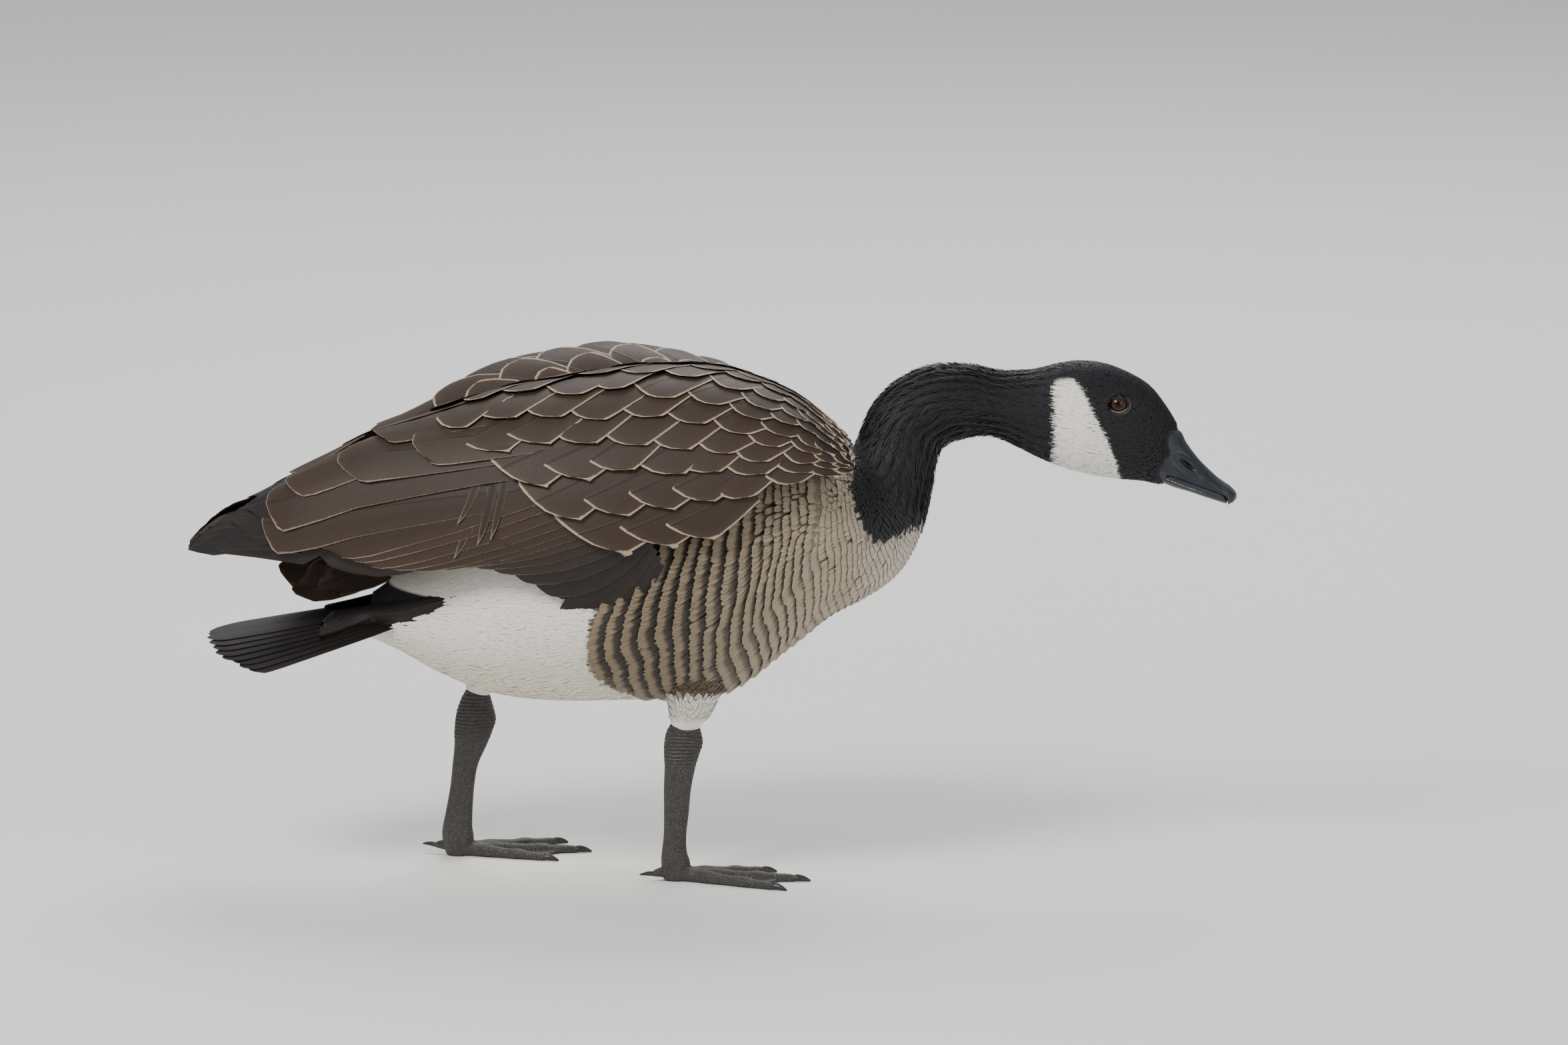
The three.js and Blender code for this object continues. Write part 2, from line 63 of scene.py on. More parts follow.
# The skin: one closed surface of trunk, neck, head and both thighs, bare under the plumage and
# as far inside the bird's outline as the plumage is deep. Sizes are in millimetres, and a row
# holds the back's point (x, z), the belly's point (x, z), half the width and its level.
MM = 0.001
SIDES = {"right": -1, "left": 1}
BODY = [
    [-262, 171, -262, 158, 38, 0.5],  # the first two rows are where coverts clasp the tail
    [-245, 178, -246, 156, 32, 0.5],
    [-223.5, 189, -228.8, 154, 26, 0.5],  # root of the tail
    [-204, 205, -206, 144, 44, 0.5],
    [-175, 229, -178.6, 128, 62, 0.52],  # vent
    [-142, 263, -145, 115, 78, 0.56],
    [-102.5, 300, -106.5, 110, 90, 0.6],  # belly
    [-61, 320, -63, 110.3, 97, 0.62],
    [-17, 323, -20, 111.5, 98, 0.6],  # flanks
    [18.5, 315.5, 12, 117, 95, 0.56],
    [49, 304, 50, 146, 88, 0.52],  # shoulders
    [72, 292.5, 77, 167, 76, 0.5],
    [85.5, 286, 103, 180.5, 62, 0.5],  # breast
    [91, 284, 125, 198, 48, 0.5],
    [94, 287, 138, 222, 36, 0.5],  # root of the neck
    [97, 295, 145.6, 250.6, 28.5, 0.5],
    [101, 305.5, 148.7, 270, 26, 0.5],
    [110, 318.5, 152.5, 280.5, 25, 0.5],  # the neck's bend
    [124, 330, 158, 285, 24.5, 0.5],
    [144, 338, 166, 288, 24, 0.5],
    [168, 338.4, 178.6, 290, 23, 0.5],  # top of the arch
    [189, 334.5, 189, 288.5, 22.5, 0.5],
    [210, 335, 203, 281.5, 23.5, 0.52],  # nape
    [226.6, 338.6, 219, 273.5, 25.5, 0.55],
    [242.4, 340.8, 235, 267.6, 27, 0.56],  # cheeks
    [258, 339, 254, 263, 26.5, 0.55],
    [273.7, 333, 271, 261, 24, 0.54],  # eyes
    [288, 324, 283.4, 260, 20.5, 0.54],
    [298, 311.5, 290.4, 258.6, 17, 0.53],
    [305, 300, 295, 257.8, 14, 0.52],
    [308.4, 292.6, 297, 257.3, 12.5, 0.5],  # root of the bill
]
TAIL_ROOT = 2
BILL_ROOT = len(BODY) - 1
PLUMAGE_DEPTH = {0: 2, 2: 4, 4: 6, 8: 6.5, 12: 5.5, 14: 4.5, 18: 3.6, 22: 2.4, 24: 1.5, 28: 1, 30: 0.4}


def unit(vectors):
    return vectors / np.maximum(np.linalg.norm(vectors, axis=-1, keepdims=True), 1e-9)


class Loft:
    """A smooth shape through a table of rows. A point on it has a place along the rows and a turn
    round its ring from the top, in radians. The plumage lies towards the tail."""

    OVERRUN = 0.4  # a place may run this far past either end of the table

    def __init__(self, rows, ring, outward=1, tailward=-1, two_sided=False):
        self.rows = np.array(rows, float)
        self.ring = ring
        self.outward = outward
        self.tailward = tailward
        self.two_sided = two_sided

    def at(self, place, turn):
        last = len(self.rows) - 1
        place = np.clip(place, -self.OVERRUN, last + self.OVERRUN)
        row = np.clip(np.floor(place).astype(int), 0, last - 1)
        t = np.asarray(place - row)[..., None]
        a, b, c, d = (self.rows[np.clip(row + k, 0, last)] for k in (-1, 0, 1, 2))
        slope, following, rise = (c - a) / 2, (d - b) / 2, c - b
        bend = 3 * rise - 2 * slope - following + t * (slope + following - 2 * rise)
        return self.ring(b + t * (slope + t * bend), turn, place)

    def slopes(self, place, turn):
        small = 0.004
        ahead = (self.at(place + small, turn) - self.at(place - small, turn)) / (2 * small)
        around = (self.at(place, turn + small) - self.at(place, turn - small)) / (2 * small)
        return ahead, around

    def frame(self, place, turn):
        """The ways towards the tail, down the side and straight out, at each point."""
        ahead, around = self.slopes(place, turn)
        out = unit(np.cross(ahead, around)) * self.outward
        lie = unit(ahead) * self.tailward
        down = np.cross(out, lie)
        turning = np.sin(turn) if self.two_sided else 1
        down *= np.sign(np.sum(down * around, -1) * turning + 1e-9)[..., None]
        return lie, down, out

    def move(self, place, turn, step):
        """Where each point comes to after a step in millimetres along the surface."""
        ahead, around = self.slopes(place, turn)
        aa, bb = np.sum(ahead * ahead, -1), np.sum(around * around, -1)
        ab, pa, pb = np.sum(ahead * around, -1), np.sum(step * ahead, -1), np.sum(step * around, -1)
        area = np.maximum(aa * bb - ab * ab, 1e-6)
        return place + (pa * bb - pb * ab) / area, turn + (pb * aa - pa * ab) / area


def spanned(values, turn, depth):
    """Points of rings spanned between an upper and a lower point, drawn in by a depth."""
    up_x, up_z, low_x, low_z, half_width, widest = np.moveaxis(values, -1, 0)
    height = np.hypot(up_x - low_x, up_z - low_z)
    way_x, way_z = (up_x - low_x) / height, (up_z - low_z) / height
    up = np.cos(turn)
    reach = up * (np.where(up > 0, widest, 1 - widest) * height - depth) - widest * height
    y = np.sin(turn) * (half_width - depth)
    return np.stack([up_x + way_x * reach, y, up_z + way_z * reach], -1)


def body_ring(values, turn, place):
    return spanned(values, turn, np.interp(place, list(PLUMAGE_DEPTH), list(PLUMAGE_DEPTH.values())))


def tube(points):
    """Vertices and faces of a closed tube through rings of points."""
    rings, sides = points.shape[:2]
    faces = [
        (r * sides + i, r * sides + (i + 1) % sides, (r + 1) * sides + (i + 1) % sides, (r + 1) * sides + i)
        for r in range(rings - 1)
        for i in range(sides)
    ]
    ends = [tuple(reversed(range(sides))), tuple(range((rings - 1) * sides, rings * sides))]
    return points.reshape(-1, 3), faces + ends


def closed_mesh(name, shapes):
    """An object of one or more closed shapes, given in millimetres, with its faces turned out."""
    form = bmesh.new()
    for points, faces in shapes:
        corners = [form.verts.new(Vector(p) * MM) for p in points.tolist()]
        for face in faces:
            form.faces.new([corners[i] for i in face])
    bmesh.ops.recalc_face_normals(form, faces=form.faces)
    mesh = bpy.data.meshes.new(name)
    form.to_mesh(mesh)
    form.free()
    mesh.shade_smooth()
    return in_scene(name, mesh)


def applied(thing, kind, **settings):
    """Gives the object a modifier and keeps what it makes."""
    modifier = thing.modifiers.new(kind.lower(), kind)
    for name, value in settings.items():
        setattr(modifier, name, value)
    shown = thing.evaluated_get(bpy.context.evaluated_depsgraph_get())
    made = bpy.data.meshes.new_from_object(shown)
    thing.modifiers.clear()
    thing.data = made


def combined(thing, other, operation):
    """Joins another closed shape to the object or cuts it out, and takes the other away."""
    applied(thing, "BOOLEAN", operation=operation, solver="EXACT", object=other)
    bpy.data.objects.remove(other)


def settle(thing, slot, *nodes):
    """Says what the piece rides on and hides the solids that it stands for. Its slot is not used."""
    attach(thing, "root")
    if nodes:
        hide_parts(*nodes)


def limb_ring(values, turn, place):
    x, y, z, half_length, half_width = np.moveaxis(values, -1, 0)
    return np.stack([x + np.cos(turn) * half_length, y + np.sin(turn) * half_width, z], -1)


def limb(rows, depth=0):
    """A leg's loft from the top down: x, y, z, half the length along x, half the width."""
    drawn_in = np.array(rows, float) - [0, 0, 0, depth, depth]
    return Loft(drawn_in, limb_ring, outward=-1, tailward=1)


def ring_grid(first, last, rings, sides):
    """Places and turns of even rings of points, from one place to another."""
    turns = np.arange(sides) * 2 * math.pi / sides
    return np.meshgrid(np.linspace(first, last, rings), turns, indexing="ij")


def tube_of(loft, first, last, rings, sides):
    return tube(loft.at(*ring_grid(first, last, rings, sides)))


THIGH_DEPTH = 2.5
THIGHS = {
    "right": [
        [-8, -50, 165, 30, 24],
        [-10, -49, 146, 26, 20],
        [-12, -46, 126, 20, 16],
        [-14, -44, 113, 16, 13.5],
        [-17.4, -42.7, 102, 11.6, 10.4],
    ],
    "left": [
        [-130, 50, 175, 30, 22],
        [-138, 48, 156, 27, 19],
        [-146, 45, 136, 20, 15.5],
        [-152, 43, 119, 13.5, 12],
        [-156, 42.2, 108.6, 10.6, 9.6],
    ],
}
body = Loft(BODY, body_ring, two_sided=True)
skin = closed_mesh("skin", [tube_of(body, TAIL_ROOT, BILL_ROOT, 260, 96)])
for side_name, rows in THIGHS.items():
    core = tube_of(limb(rows, THIGH_DEPTH), 0, len(rows) - 1, 25, 40)
    combined(skin, closed_mesh("thigh_" + side_name + "_core", [core]), "UNION")
EYE_CENTRE = Vector((267, 16.2, 314))
SOCKET_OPENING = (7.4, 6.6)  # half its length and half its height
SOCKET_LEVELS = (12.5, 16, 20, 26)  # out from the mirror plane
sockets = [[level, *SOCKET_OPENING] for level in SOCKET_LEVELS]
for side in SIDES.values():
    socket = Loft(sockets, lambda values, turn, place: np.stack([
        EYE_CENTRE.x + np.cos(turn) * values[..., 1],
        side * values[..., 0] + 0 * turn,
        EYE_CENTRE.z + np.sin(turn) * values[..., 2],
    ], -1))
    hole = tube_of(socket, 0, len(SOCKET_LEVELS) - 1, 8, 40)
    combined(skin, closed_mesh("eye_socket_shape", [hole]), "DIFFERENCE")
skin.data.shade_smooth()
settle(skin, "plumage_white", "rump", "belly", "breast", "neck_lower", "neck_upper", "head")
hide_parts("thigh_right", "thigh_left")


class Shade:
    """A number, colour or vector that runs through a material's nodes. Sums written on it add
    Math nodes, and any other node comes from node()."""

    def __init__(self, tree, socket):
        self.tree = tree
        self.socket = socket

    def node(self, kind, settings=None, inputs=None, output=0):
        made = self.tree.nodes.new("ShaderNode" + kind)
        for name, value in (settings or {}).items():
            setattr(made, name, value)
        for name, value in (inputs or {}).items():
            if isinstance(value, Shade):
                self.tree.links.new(value.socket, made.inputs[name])
            elif isinstance(value, tuple) and len(made.inputs[name].default_value) == 4:
                made.inputs[name].default_value = (*value, 1)
            else:
                made.inputs[name].default_value = value
        return Shade(self.tree, made.outputs[output])

    def math(self, operation, *values):
        return self.node("Math", {"operation": operation}, dict(enumerate(values)))

    def __add__(self, other):
        return self.math("ADD", self, other)

    __radd__ = __add__

    def __sub__(self, other):
        return self.math("SUBTRACT", self, other)

    def __rsub__(self, other):
        return self.math("SUBTRACT", other, self)

    def __mul__(self, other):
        return self.math("MULTIPLY", self, other)

    __rmul__ = __mul__

    def __truediv__(self, other):
        return self.math("DIVIDE", self, other)

    def abs(self):
        return self.math("ABSOLUTE", self)

    def least(self, other):
        return self.math("MINIMUM", self, other)

    def most(self, other):
        return self.math("MAXIMUM", self, other)

    def rise(self, low, high):
        """0 below low, 1 above high and smooth between them, where high may be the lower."""
        return self.node(
            "MapRange",
            {"interpolation_type": "SMOOTHSTEP"},
            {"Value": self, "From Min": low, "From Max": high},
        )

    def mix(self, low, high):
        """The colour low where this is 0, and high where it is 1."""
        return self.node("Mix", {"data_type": "RGBA"}, {0: self, 6: low, 7: high}, output=2)

    def times(self, factor):
        """A vector stretched by another."""
        return self.node("VectorMath", {"operation": "MULTIPLY"}, {0: self, 1: factor})

    def spread(self):
        """This number three times over, as a vector."""
        return self.node("CombineXYZ", {}, {0: self, 1: self, 2: self})

    def parts(self):
        """A vector's three numbers."""
        outputs = self.node("SeparateXYZ", {}, {0: self}).socket.node.outputs
        return [Shade(self.tree, socket) for socket in outputs]

    def here(self):
        """The place of the point that is shaded, in metres."""
        return self.node("TexCoord", output="Object")

    def millimetres(self):
        """A place's x, y and z as numbers in millimetres."""
        return self.times((1 / MM,) * 3).parts()

    def noise(self, scale, detail=2.0, output=0):
        """Cloudy noise from 0 to 1 on this vector, in blotches of 1 / scale."""
        inputs = {"Vector": self, "Scale": scale, "Detail": detail}
        return self.node("TexNoise", {}, inputs, output)

    def attribute(self, name, output="Fac"):
        return self.node("Attribute", {"attribute_name": name}, output=output)

    def bump(self, strength, distance):
        return self.node("Bump", {}, {"Height": self, "Strength": strength, "Distance": distance})


def finish_of(name, paint, **constants):
    """A material whose changing sockets paint() fills in, and whose other ones are plain numbers."""
    material = bpy.data.materials.new(name)
    material.use_nodes = True
    tree = material.node_tree
    surface = tree.nodes["Principled BSDF"]
    for socket, value in constants.items():
        surface.inputs[socket.replace("_", " ")].default_value = value
    for socket, shade in paint(Shade(tree, None)).items():
        tree.links.new(shade.socket, surface.inputs[socket])
    return material


BLACK = (0.0065, 0.0065, 0.0078)
CHEEK_WHITE = (0.83, 0.8, 0.72)
BELLY_WHITE = (0.8, 0.77, 0.68)
BREAST_PALE = (0.47, 0.42, 0.34)
BREAST_TAN = (0.24, 0.19, 0.13)
FLANK_BROWN = (0.105, 0.072, 0.045)
FLANK_BARS = ((0.03, 0.021, 0.014), (0.2, 0.148, 0.09))
BREAST_BARS = ((0.21, 0.162, 0.112), (0.36, 0.29, 0.2))
BACK_BROWN = (0.032, 0.022, 0.017)


def plumage(where, tone, bars=None):
    """The markings, as a colour at a point of the body, with a share of each feather's own tone
    that breaks up the borders. Bars is 0 on the dark part of a flank feather and 1 on its tip."""
    x, y, z = where.millimetres()
    stray = (tone - 0.5) * 5
    side = y.abs()
    fade = (x + stray).rise(-30, 104)
    colour = fade.mix(FLANK_BROWN, BREAST_TAN)
    if bars is not None:
        dark = fade.mix(FLANK_BARS[0], BREAST_BARS[0])
        colour = bars.mix(dark, fade.mix(FLANK_BARS[1], BREAST_BARS[1]))
    colour = ((x + stray * 2).rise(92, 128) * (z - 258).rise(8, -8)).mix(colour, BREAST_PALE)
    low = z.rise(150, 118)
    white_edge = low * 24 - 74 + (low * side.rise(70, 10)) * 26
    white = (white_edge - x - stray).rise(-2.5, 2.5)
    near_leg = (x + 15) * (x + 15) / 700 + (side - 45) * (side - 45) / 600
    white = white.most((1.7 - near_leg).rise(0, 0.3) * (121 - z - stray * 0.4).rise(-2, 2))
    colour = white.mix(colour, BELLY_WHITE)
    backs = (z - 268).rise(-6, 6) * side.rise(54, 44) * x.rise(74, 62) * x.rise(-150, -130)
    colour = backs.mix(colour, BACK_BROWN)
    wedge = (190 - (x + 177) * 0.08 - z).rise(-1, 1) * (z - 172 - (x + 213) * 0.42).rise(-1, 1)
    colour = (wedge * (-179 - x).rise(-1, 1)).mix(colour, BLACK)
    above = z + stray - 0.37 * (x.least(145) - 112) - 220
    ahead = x + stray * 0.6 + 0.31 * (z.least(258) - 222) - 110
    colour = (above.most(0) * ahead.most(0)).rise(18, 60).mix(colour, BLACK)
    crown = (x - 235) * (x - 235) * 0.055
    cheek = (x + stray * 0.2).rise(225.5, 228) * (272 - 0.5 * (z - 269) - x - stray * 0.2).rise(-1, 1.4)
    cheek = cheek * (331 - z - crown).rise(-1, 2)
    return cheek.mix(colour, CHEEK_WHITE)


def skin_paint(shade):
    where = shade.here()
    tone = where.noise(300, 1)
    colour = plumage(where, tone)
    grain = where.noise(900, 3)
    x, _, z = where.millimetres()
    low_border = (x - 290 - (z - 268) * 0.62) * 0.7
    horn = (x - 297.6).most(low_border * (277 - z).rise(0, 2)).rise(-0.3, 0.3) * (303 - z).rise(-1, 1)
    colour = (horn * (z - 261).rise(0, 2)).mix(colour, (0.012, 0.015, 0.02))
    return {"Base Color": colour, "Normal": grain.bump(0.3, 0.0004), "Roughness": 0.85 - horn * 0.42}


skin.data.materials.clear()
skin.data.materials.append(finish_of("skin_under_plumage", skin_paint))


# The belly and the vent: soft white feathers. As all over the body they are closed thin vanes
# rooted in the skin, in staggered rows, each lying over the next one behind.
def by_place(table, place):
    """The value at a place between the entries of a table of place and value."""
    return np.interp(place, list(table), list(table.values()))


def staggered(loft, first, last, along, around, rng, stray=0.25, loose=1.0):
    """Places and turns in rows round the loft, half a step apart from row to row. Each strays by
    a share of the step round the ring, and by that times loose along the rows."""
    ring = np.linspace(-math.pi, math.pi, 181)
    places, turns = [], []
    place = first
    while place < last:
        points = loft.at(np.full(ring.size, place), ring)
        arc = np.concatenate([[0], np.cumsum(np.linalg.norm(np.diff(points, axis=0), axis=1))])
        count = max(3, round(arc[-1] / by_place(around, place)))
        marks = np.arange(count) + 0.5 * (len(places) % 2) + rng.uniform(-stray, stray, count)
        turn = np.interp(marks / count * arc[-1] % arc[-1], arc, ring)
        speed = np.linalg.norm(loft.slopes(np.full(count, place), turn)[0], axis=-1)
        step = by_place(along, place)
        kept = rng.random(count) < np.maximum(speed / speed.max(), 0.25)
        places.append((place + rng.uniform(-stray, stray, count) * loose * step / speed.max())[kept])
        turns.append(turn[kept])
        place += step / speed.max()
    return np.concatenate(places), np.concatenate(turns)


def marched(loft, place, turn, length, lean, steps):
    """Paths over the surface from each tip back to its root, at shares of the length."""
    places, turns = [place], [turn]
    for share in np.diff(steps):
        lie, down, _ = loft.frame(places[-1], turns[-1])
        way = lie * np.cos(lean)[:, None] + down * np.sin(lean)[:, None]
        moved = loft.move(places[-1], turns[-1], -way * (length * share)[:, None])
        places.append(moved[0])
        turns.append(moved[1])
    return np.stack(places, 1), np.stack(turns, 1)


def patch_map(place, turn, across, along):
    """Where a small vane is baked: a tiny patch at its root's place on the unwrapped skin."""
    low, high = place.min(), place.max()
    u = 0.02 + 0.96 * (place[:, -1] - low) / max(high - low, 1e-6)
    v = 0.02 + 0.96 * (turn[:, -1] % (2 * math.pi)) / (2 * math.pi)
    return np.stack([u[:, None, None] + across * 0.0015, v[:, None, None] + along * 0.003], -1)


def cell_map(place, turn, across, along):
    """Where a big feather is baked: a cell of its own in a grid, with its edges spread wide."""
    wide = math.ceil(math.sqrt(len(place)))
    cell = np.arange(len(place))
    _, rows, columns = across.shape
    u = (cell % wide)[:, None, None] + np.linspace(0.06, 0.94, columns) + 0 * across
    v = (cell // wide)[:, None, None] + np.linspace(0.06, 0.94, rows)[:, None] + 0 * along
    return np.stack([u, v], -1) / wide


def marked(mesh, title, values):
    """Keeps a number or a vector for each vertex, which the paints read by its title."""
    kind, field = ("FLOAT_VECTOR", "vector") if values.ndim > 1 else ("FLOAT", "value")
    made = mesh.attributes.new(title, kind, "POINT")
    made.data.foreach_set(field, values.astype(np.float32).ravel())


def vanes(name, loft, place, turn, half_width, rng, steps, shares, **form):
    """A mesh of closed thin vanes along paths on a loft, from tip to root. Steps are the rows'
    shares of the length and shares those of the width. The form gives the lift of the root and
    the tip, the arch, and how the tip is cut: blunt, slanted or with one full corner."""
    column = np.array(form.get("columns", (-1, 0, 1)), float)
    count, rows, columns = len(place), len(steps), len(column)
    steps = np.array(steps)[None, :, None]
    widths = (half_width[:, None] * np.array(shares))[..., None]
    centre = loft.at(place, turn)
    out = loft.frame(place, turn)[2]
    back = unit(-np.gradient(centre, axis=1))
    side = np.cross(out, back)
    length = np.linalg.norm(np.diff(centre, axis=1), axis=-1).sum(1)[:, None, None]
    across = widths * column
    near_tip = np.clip(1 - steps / 0.35, 0, 1)
    slant = np.broadcast_to(form.get("slant", 0.0), (count,))[:, None, None]
    corner = form.get("corner", 0.0)
    rounded = form.get("blunt", 0.5) * column**2
    rounded = rounded + abs(corner) * np.clip(np.sign(corner) * column, 0, 1) ** 3
    rounded = rounded + 0.4 * abs(corner) * np.clip(-np.sign(corner) * column, 0, 1) ** 5
    drawn_back = near_tip * (half_width[:, None, None] * rounded + slant * across)
    step = side[:, :, None] * across[..., None] - back[:, :, None] * drawn_back[..., None]
    moved = loft.move(place[..., None], turn[..., None], step)
    normal = loft.frame(*moved)[2]
    root_lift, tip_lift = form.get("lift", (0.2, 2))
    root_lift = np.broadcast_to(root_lift, (count,))[:, None, None]
    tip_lift = np.broadcast_to(tip_lift, (count,))[:, None, None]
    height = root_lift + (tip_lift - root_lift) * (1 - steps) ** form.get("rise", 1.0)
    height = height + form.get("arch", 0.15) * widths * (1 - column**2)
    height = height + np.broadcast_to(form.get("tilt", 0.0), (count,))[:, None, None] * across
    ripple = form.get("ripple", 0.0)
    height = height + ripple * rng.normal(size=(count, rows, columns)) * (1 - steps)
    top = loft.at(*moved) + normal * height[..., None]
    below = (top - normal * form.get("thick", 0.35))[:, 1:-1, 1:-1]
    along = steps * length + drawn_back
    from_end = (along - drawn_back[:, :1]) / np.hypot(1, slant)
    edge = np.minimum(widths * (1 - np.abs(column)), from_end)
    vane = np.stack([along + 0 * across, across, edge], -1)

    grid = np.arange(rows * columns).reshape(rows, columns)
    under = grid.copy()
    under[1:-1, 1:-1] = rows * columns + np.arange((rows - 2) * (columns - 2)).reshape(rows - 2, -1)
    upper, lower = (
        np.stack([g[:-1, :-1], g[:-1, 1:], g[1:, 1:], g[1:, :-1]], -1).reshape(-1, 4) for g in (grid, under)
    )
    one = np.concatenate([upper, lower[:, ::-1]])

    def joined(values, inner):
        outer = values.reshape(count, rows * columns, -1)
        return np.concatenate([outer, inner.reshape(count, -1, values.shape[-1])], 1)

    points = joined(top, below)
    each = points.shape[1]
    faces = (np.arange(count)[:, None, None] * each + one).reshape(-1, 4)
    mesh = bpy.data.meshes.new(name)
    mesh.vertices.add(points.shape[0] * each)
    mesh.vertices.foreach_set("co", (points * MM).ravel())
    mesh.loops.add(faces.size)
    mesh.loops.foreach_set("vertex_index", faces.ravel().astype(np.int32))
    mesh.polygons.add(len(faces))
    mesh.polygons.foreach_set("loop_start", np.arange(0, faces.size, 4, dtype=np.int32))
    mesh.update(calc_edges=True)
    mesh.shade_smooth()
    rim = np.ones((rows, columns), bool)
    rim[1:-1, 1:-1] = False
    rim = np.tile(np.concatenate([rim.ravel(), np.zeros((rows - 2) * (columns - 2), bool)]), count)
    ends = np.zeros(len(mesh.edges) * 2, np.int32)
    mesh.edges.foreach_get("vertices", ends)
    sharp = mesh.attributes.new("sharp_edge", "BOOLEAN", "EDGE")
    sharp.data.foreach_set("value", rim[ends].reshape(-1, 2).all(1))
    # A feather's markings are those of the body at one spot near its tip.
    spot = centre[:, round(0.3 * (rows - 1))] * MM
    marked(mesh, "spot", np.repeat(spot, each, axis=0))
    marked(mesh, "vane", joined(vane, vane[:, 1:-1, 1:-1]).reshape(-1, 3))
    marked(mesh, "tone", np.repeat(rng.random(count), each))
    share = np.broadcast_to(1 - steps[..., None], (count, rows, columns, 1))
    marked(mesh, "share", joined(share, share[:, 1:-1, 1:-1]).ravel())
    spread = column + 0 * widths, steps + 0 * across
    baked_at = form.get("map", patch_map)(place, turn, *spread)
    flat = joined(baked_at, baked_at[:, 1:-1, 1:-1]).reshape(-1, 2)
    layer = mesh.uv_layers.new(name="OFBake")
    layer.data.foreach_set("uv", flat[faces.ravel()].astype(np.float32).ravel())
    return in_scene(name, mesh)


# A small vane's rows from its tip: shares of its length, and of its half width there.
SMALL = {"steps": (0, 0.3, 0.68, 1), "shares": (0.45, 1, 0.85, 0.35)}


def tract(name, loft, first, last, along, around, length, half_width, seed, wanted=None, **form):
    """One coat piece: small vanes all over a stretch of a loft, where wanted() allows them."""
    rng = np.random.default_rng(seed)
    strays = form.pop("stray", 0.25), form.pop("loose", 1.0)
    place, turn = staggered(loft, first, last, along, around, rng, *strays)
    if "bend" in form:
        place = place + form.pop("bend")(place, turn)
    if wanted:
        kept = wanted(loft.at(place, turn))
        place, turn = place[kept], turn[kept]
    size = rng.uniform(0.85, 1.15, len(place))
    if "swell" in form:
        low, high, waves = form.pop("swell")
        ridge = waves(place, turn)
        form["lift"] = (form["lift"][0], low + (high - low) * ridge)
    lean = form.pop("lean", 0.0) + rng.normal(0, form.pop("ruffle", 0.08), len(place))
    shape = {key: form.pop(key, value) for key, value in SMALL.items()}
    paths = marched(loft, place, turn, by_place(length, place) * size, lean, shape["steps"])
    return vanes(name, loft, *paths, by_place(half_width, place) * size, rng, **shape, **form)


def vane_marks(shade):
    """A vane's spot on the body and its tone, the share of its length out from the root, and how
    many millimetres a point on it lies from the tip, across from the shaft and in from the edge."""
    numbers = shade.attribute("tone"), shade.attribute("share")
    return shade.attribute("spot", "Vector"), *numbers, shade.attribute("vane", "Vector").parts()


def coat_paint(shade):
    """Small body feathers: the bird's markings with fine barbs and a soft paler tip."""
    where, tone, share, (along, across, _) = vane_marks(shade)
    colour = plumage(where, tone)
    swept = along * 0.35 + across.abs() * 0.3
    barbs = shade.node("CombineXYZ", {}, {0: swept, 1: across * 2.2, 2: tone * 50})
    streak = barbs.noise(1.6, 2)
    shading = (0.72 + share * 0.2 + streak * 0.22 + tone * 0.1).spread()
    return {"Base Color": colour.times(shading), "Normal": streak.bump(0.5, 0.0003)}


coat = finish_of(
    "body_plumage", coat_paint, Roughness=0.58, Specular_IOR_Level=0.35, Sheen_Weight=0.05,
    Sheen_Roughness=0.4,
)


def coated(thing, slot, finish=coat):
    thing.data.materials.append(finish)
    settle(thing, slot)


def beside_tail(points):
    """The dark wedge on each side of the rump, where the outer tail feathers come out."""
    x, _, z = np.moveaxis(points, -1, 0)
    top = 190 - (x + 177) * 0.08
    low = 169 + (x + 213) * 0.42
    return (x < -176) & (z < top) & (z > low)


def below_wings(points):
    """Where the belly and the vent show under the folded wings."""
    x, y, z = np.moveaxis(points, -1, 0)
    covered = (z > 235) | ((x < -150) & (z > 205) & (np.abs(y) < 40))
    return ~covered & ~flank_zone(points, 10) & ~beside_tail(points)


def flank_zone(points, margin=0):
    x, y, z = np.moveaxis(points, -1, 0)
    low = np.clip((150 - z) / 32, 0, 1)
    rear = -82 + 26 * low + 24 * low * np.clip((70 - np.abs(y)) / 60, 0, 1)
    return (x > rear + margin) & (x < 104) & (z < 285)


def silk_paint(shade):
    """Long soft white feathers, which show hardly more than their sheen and a few fine lines. Their lower
    part carries a painted cream reflection of light bounced up from the ground.
    """
    where, tone, share, (along, across, _) = vane_marks(shade)
    _, _, z = where.millimetres()
    fine = shade.node("CombineXYZ", {}, {0: along * 0.25, 1: across * 1.6, 2: tone * 50})
    streak = fine.noise(1.5, 2)
    colour = plumage(where, tone)
    shading = 0.9 + share * 0.05 + streak * 0.1 + tone * 0.04
    # Painted reflected light: the belly is tinted cream as if lit from below by the ground, from nothing at z
    # 175 mm to full below z 125 mm.
    painted_ground_bounce = (z + tone * 8).rise(175, 125)
    tint = painted_ground_bounce.mix((1, 1, 1), (1, 0.955, 0.84))
    return {"Base Color": colour.times(tint).times(shading.spread()), "Normal": streak.bump(0.25, 0.0002)}


HAIR = {"steps": (0, 0.45, 1), "shares": (0.3, 1, 0.4)}
silk = finish_of("belly_plumage", silk_paint, Roughness=0.7, Sheen_Weight=0.1, Sheen_Roughness=0.5)
belly = tract(
    "belly_plumage", body, 1.2, 9, {0: 3.6, 9: 3.8}, {0: 2.0, 9: 2.3}, {0: 15, 3: 18, 9: 18},
    {0: 1.9, 9: 2.2}, 11, below_wings, lift=(0.2, 1.8), thick=0.4, arch=0.1, ripple=0.04, ruffle=0.06, **HAIR,
)
coated(belly, "plumage_white", silk)


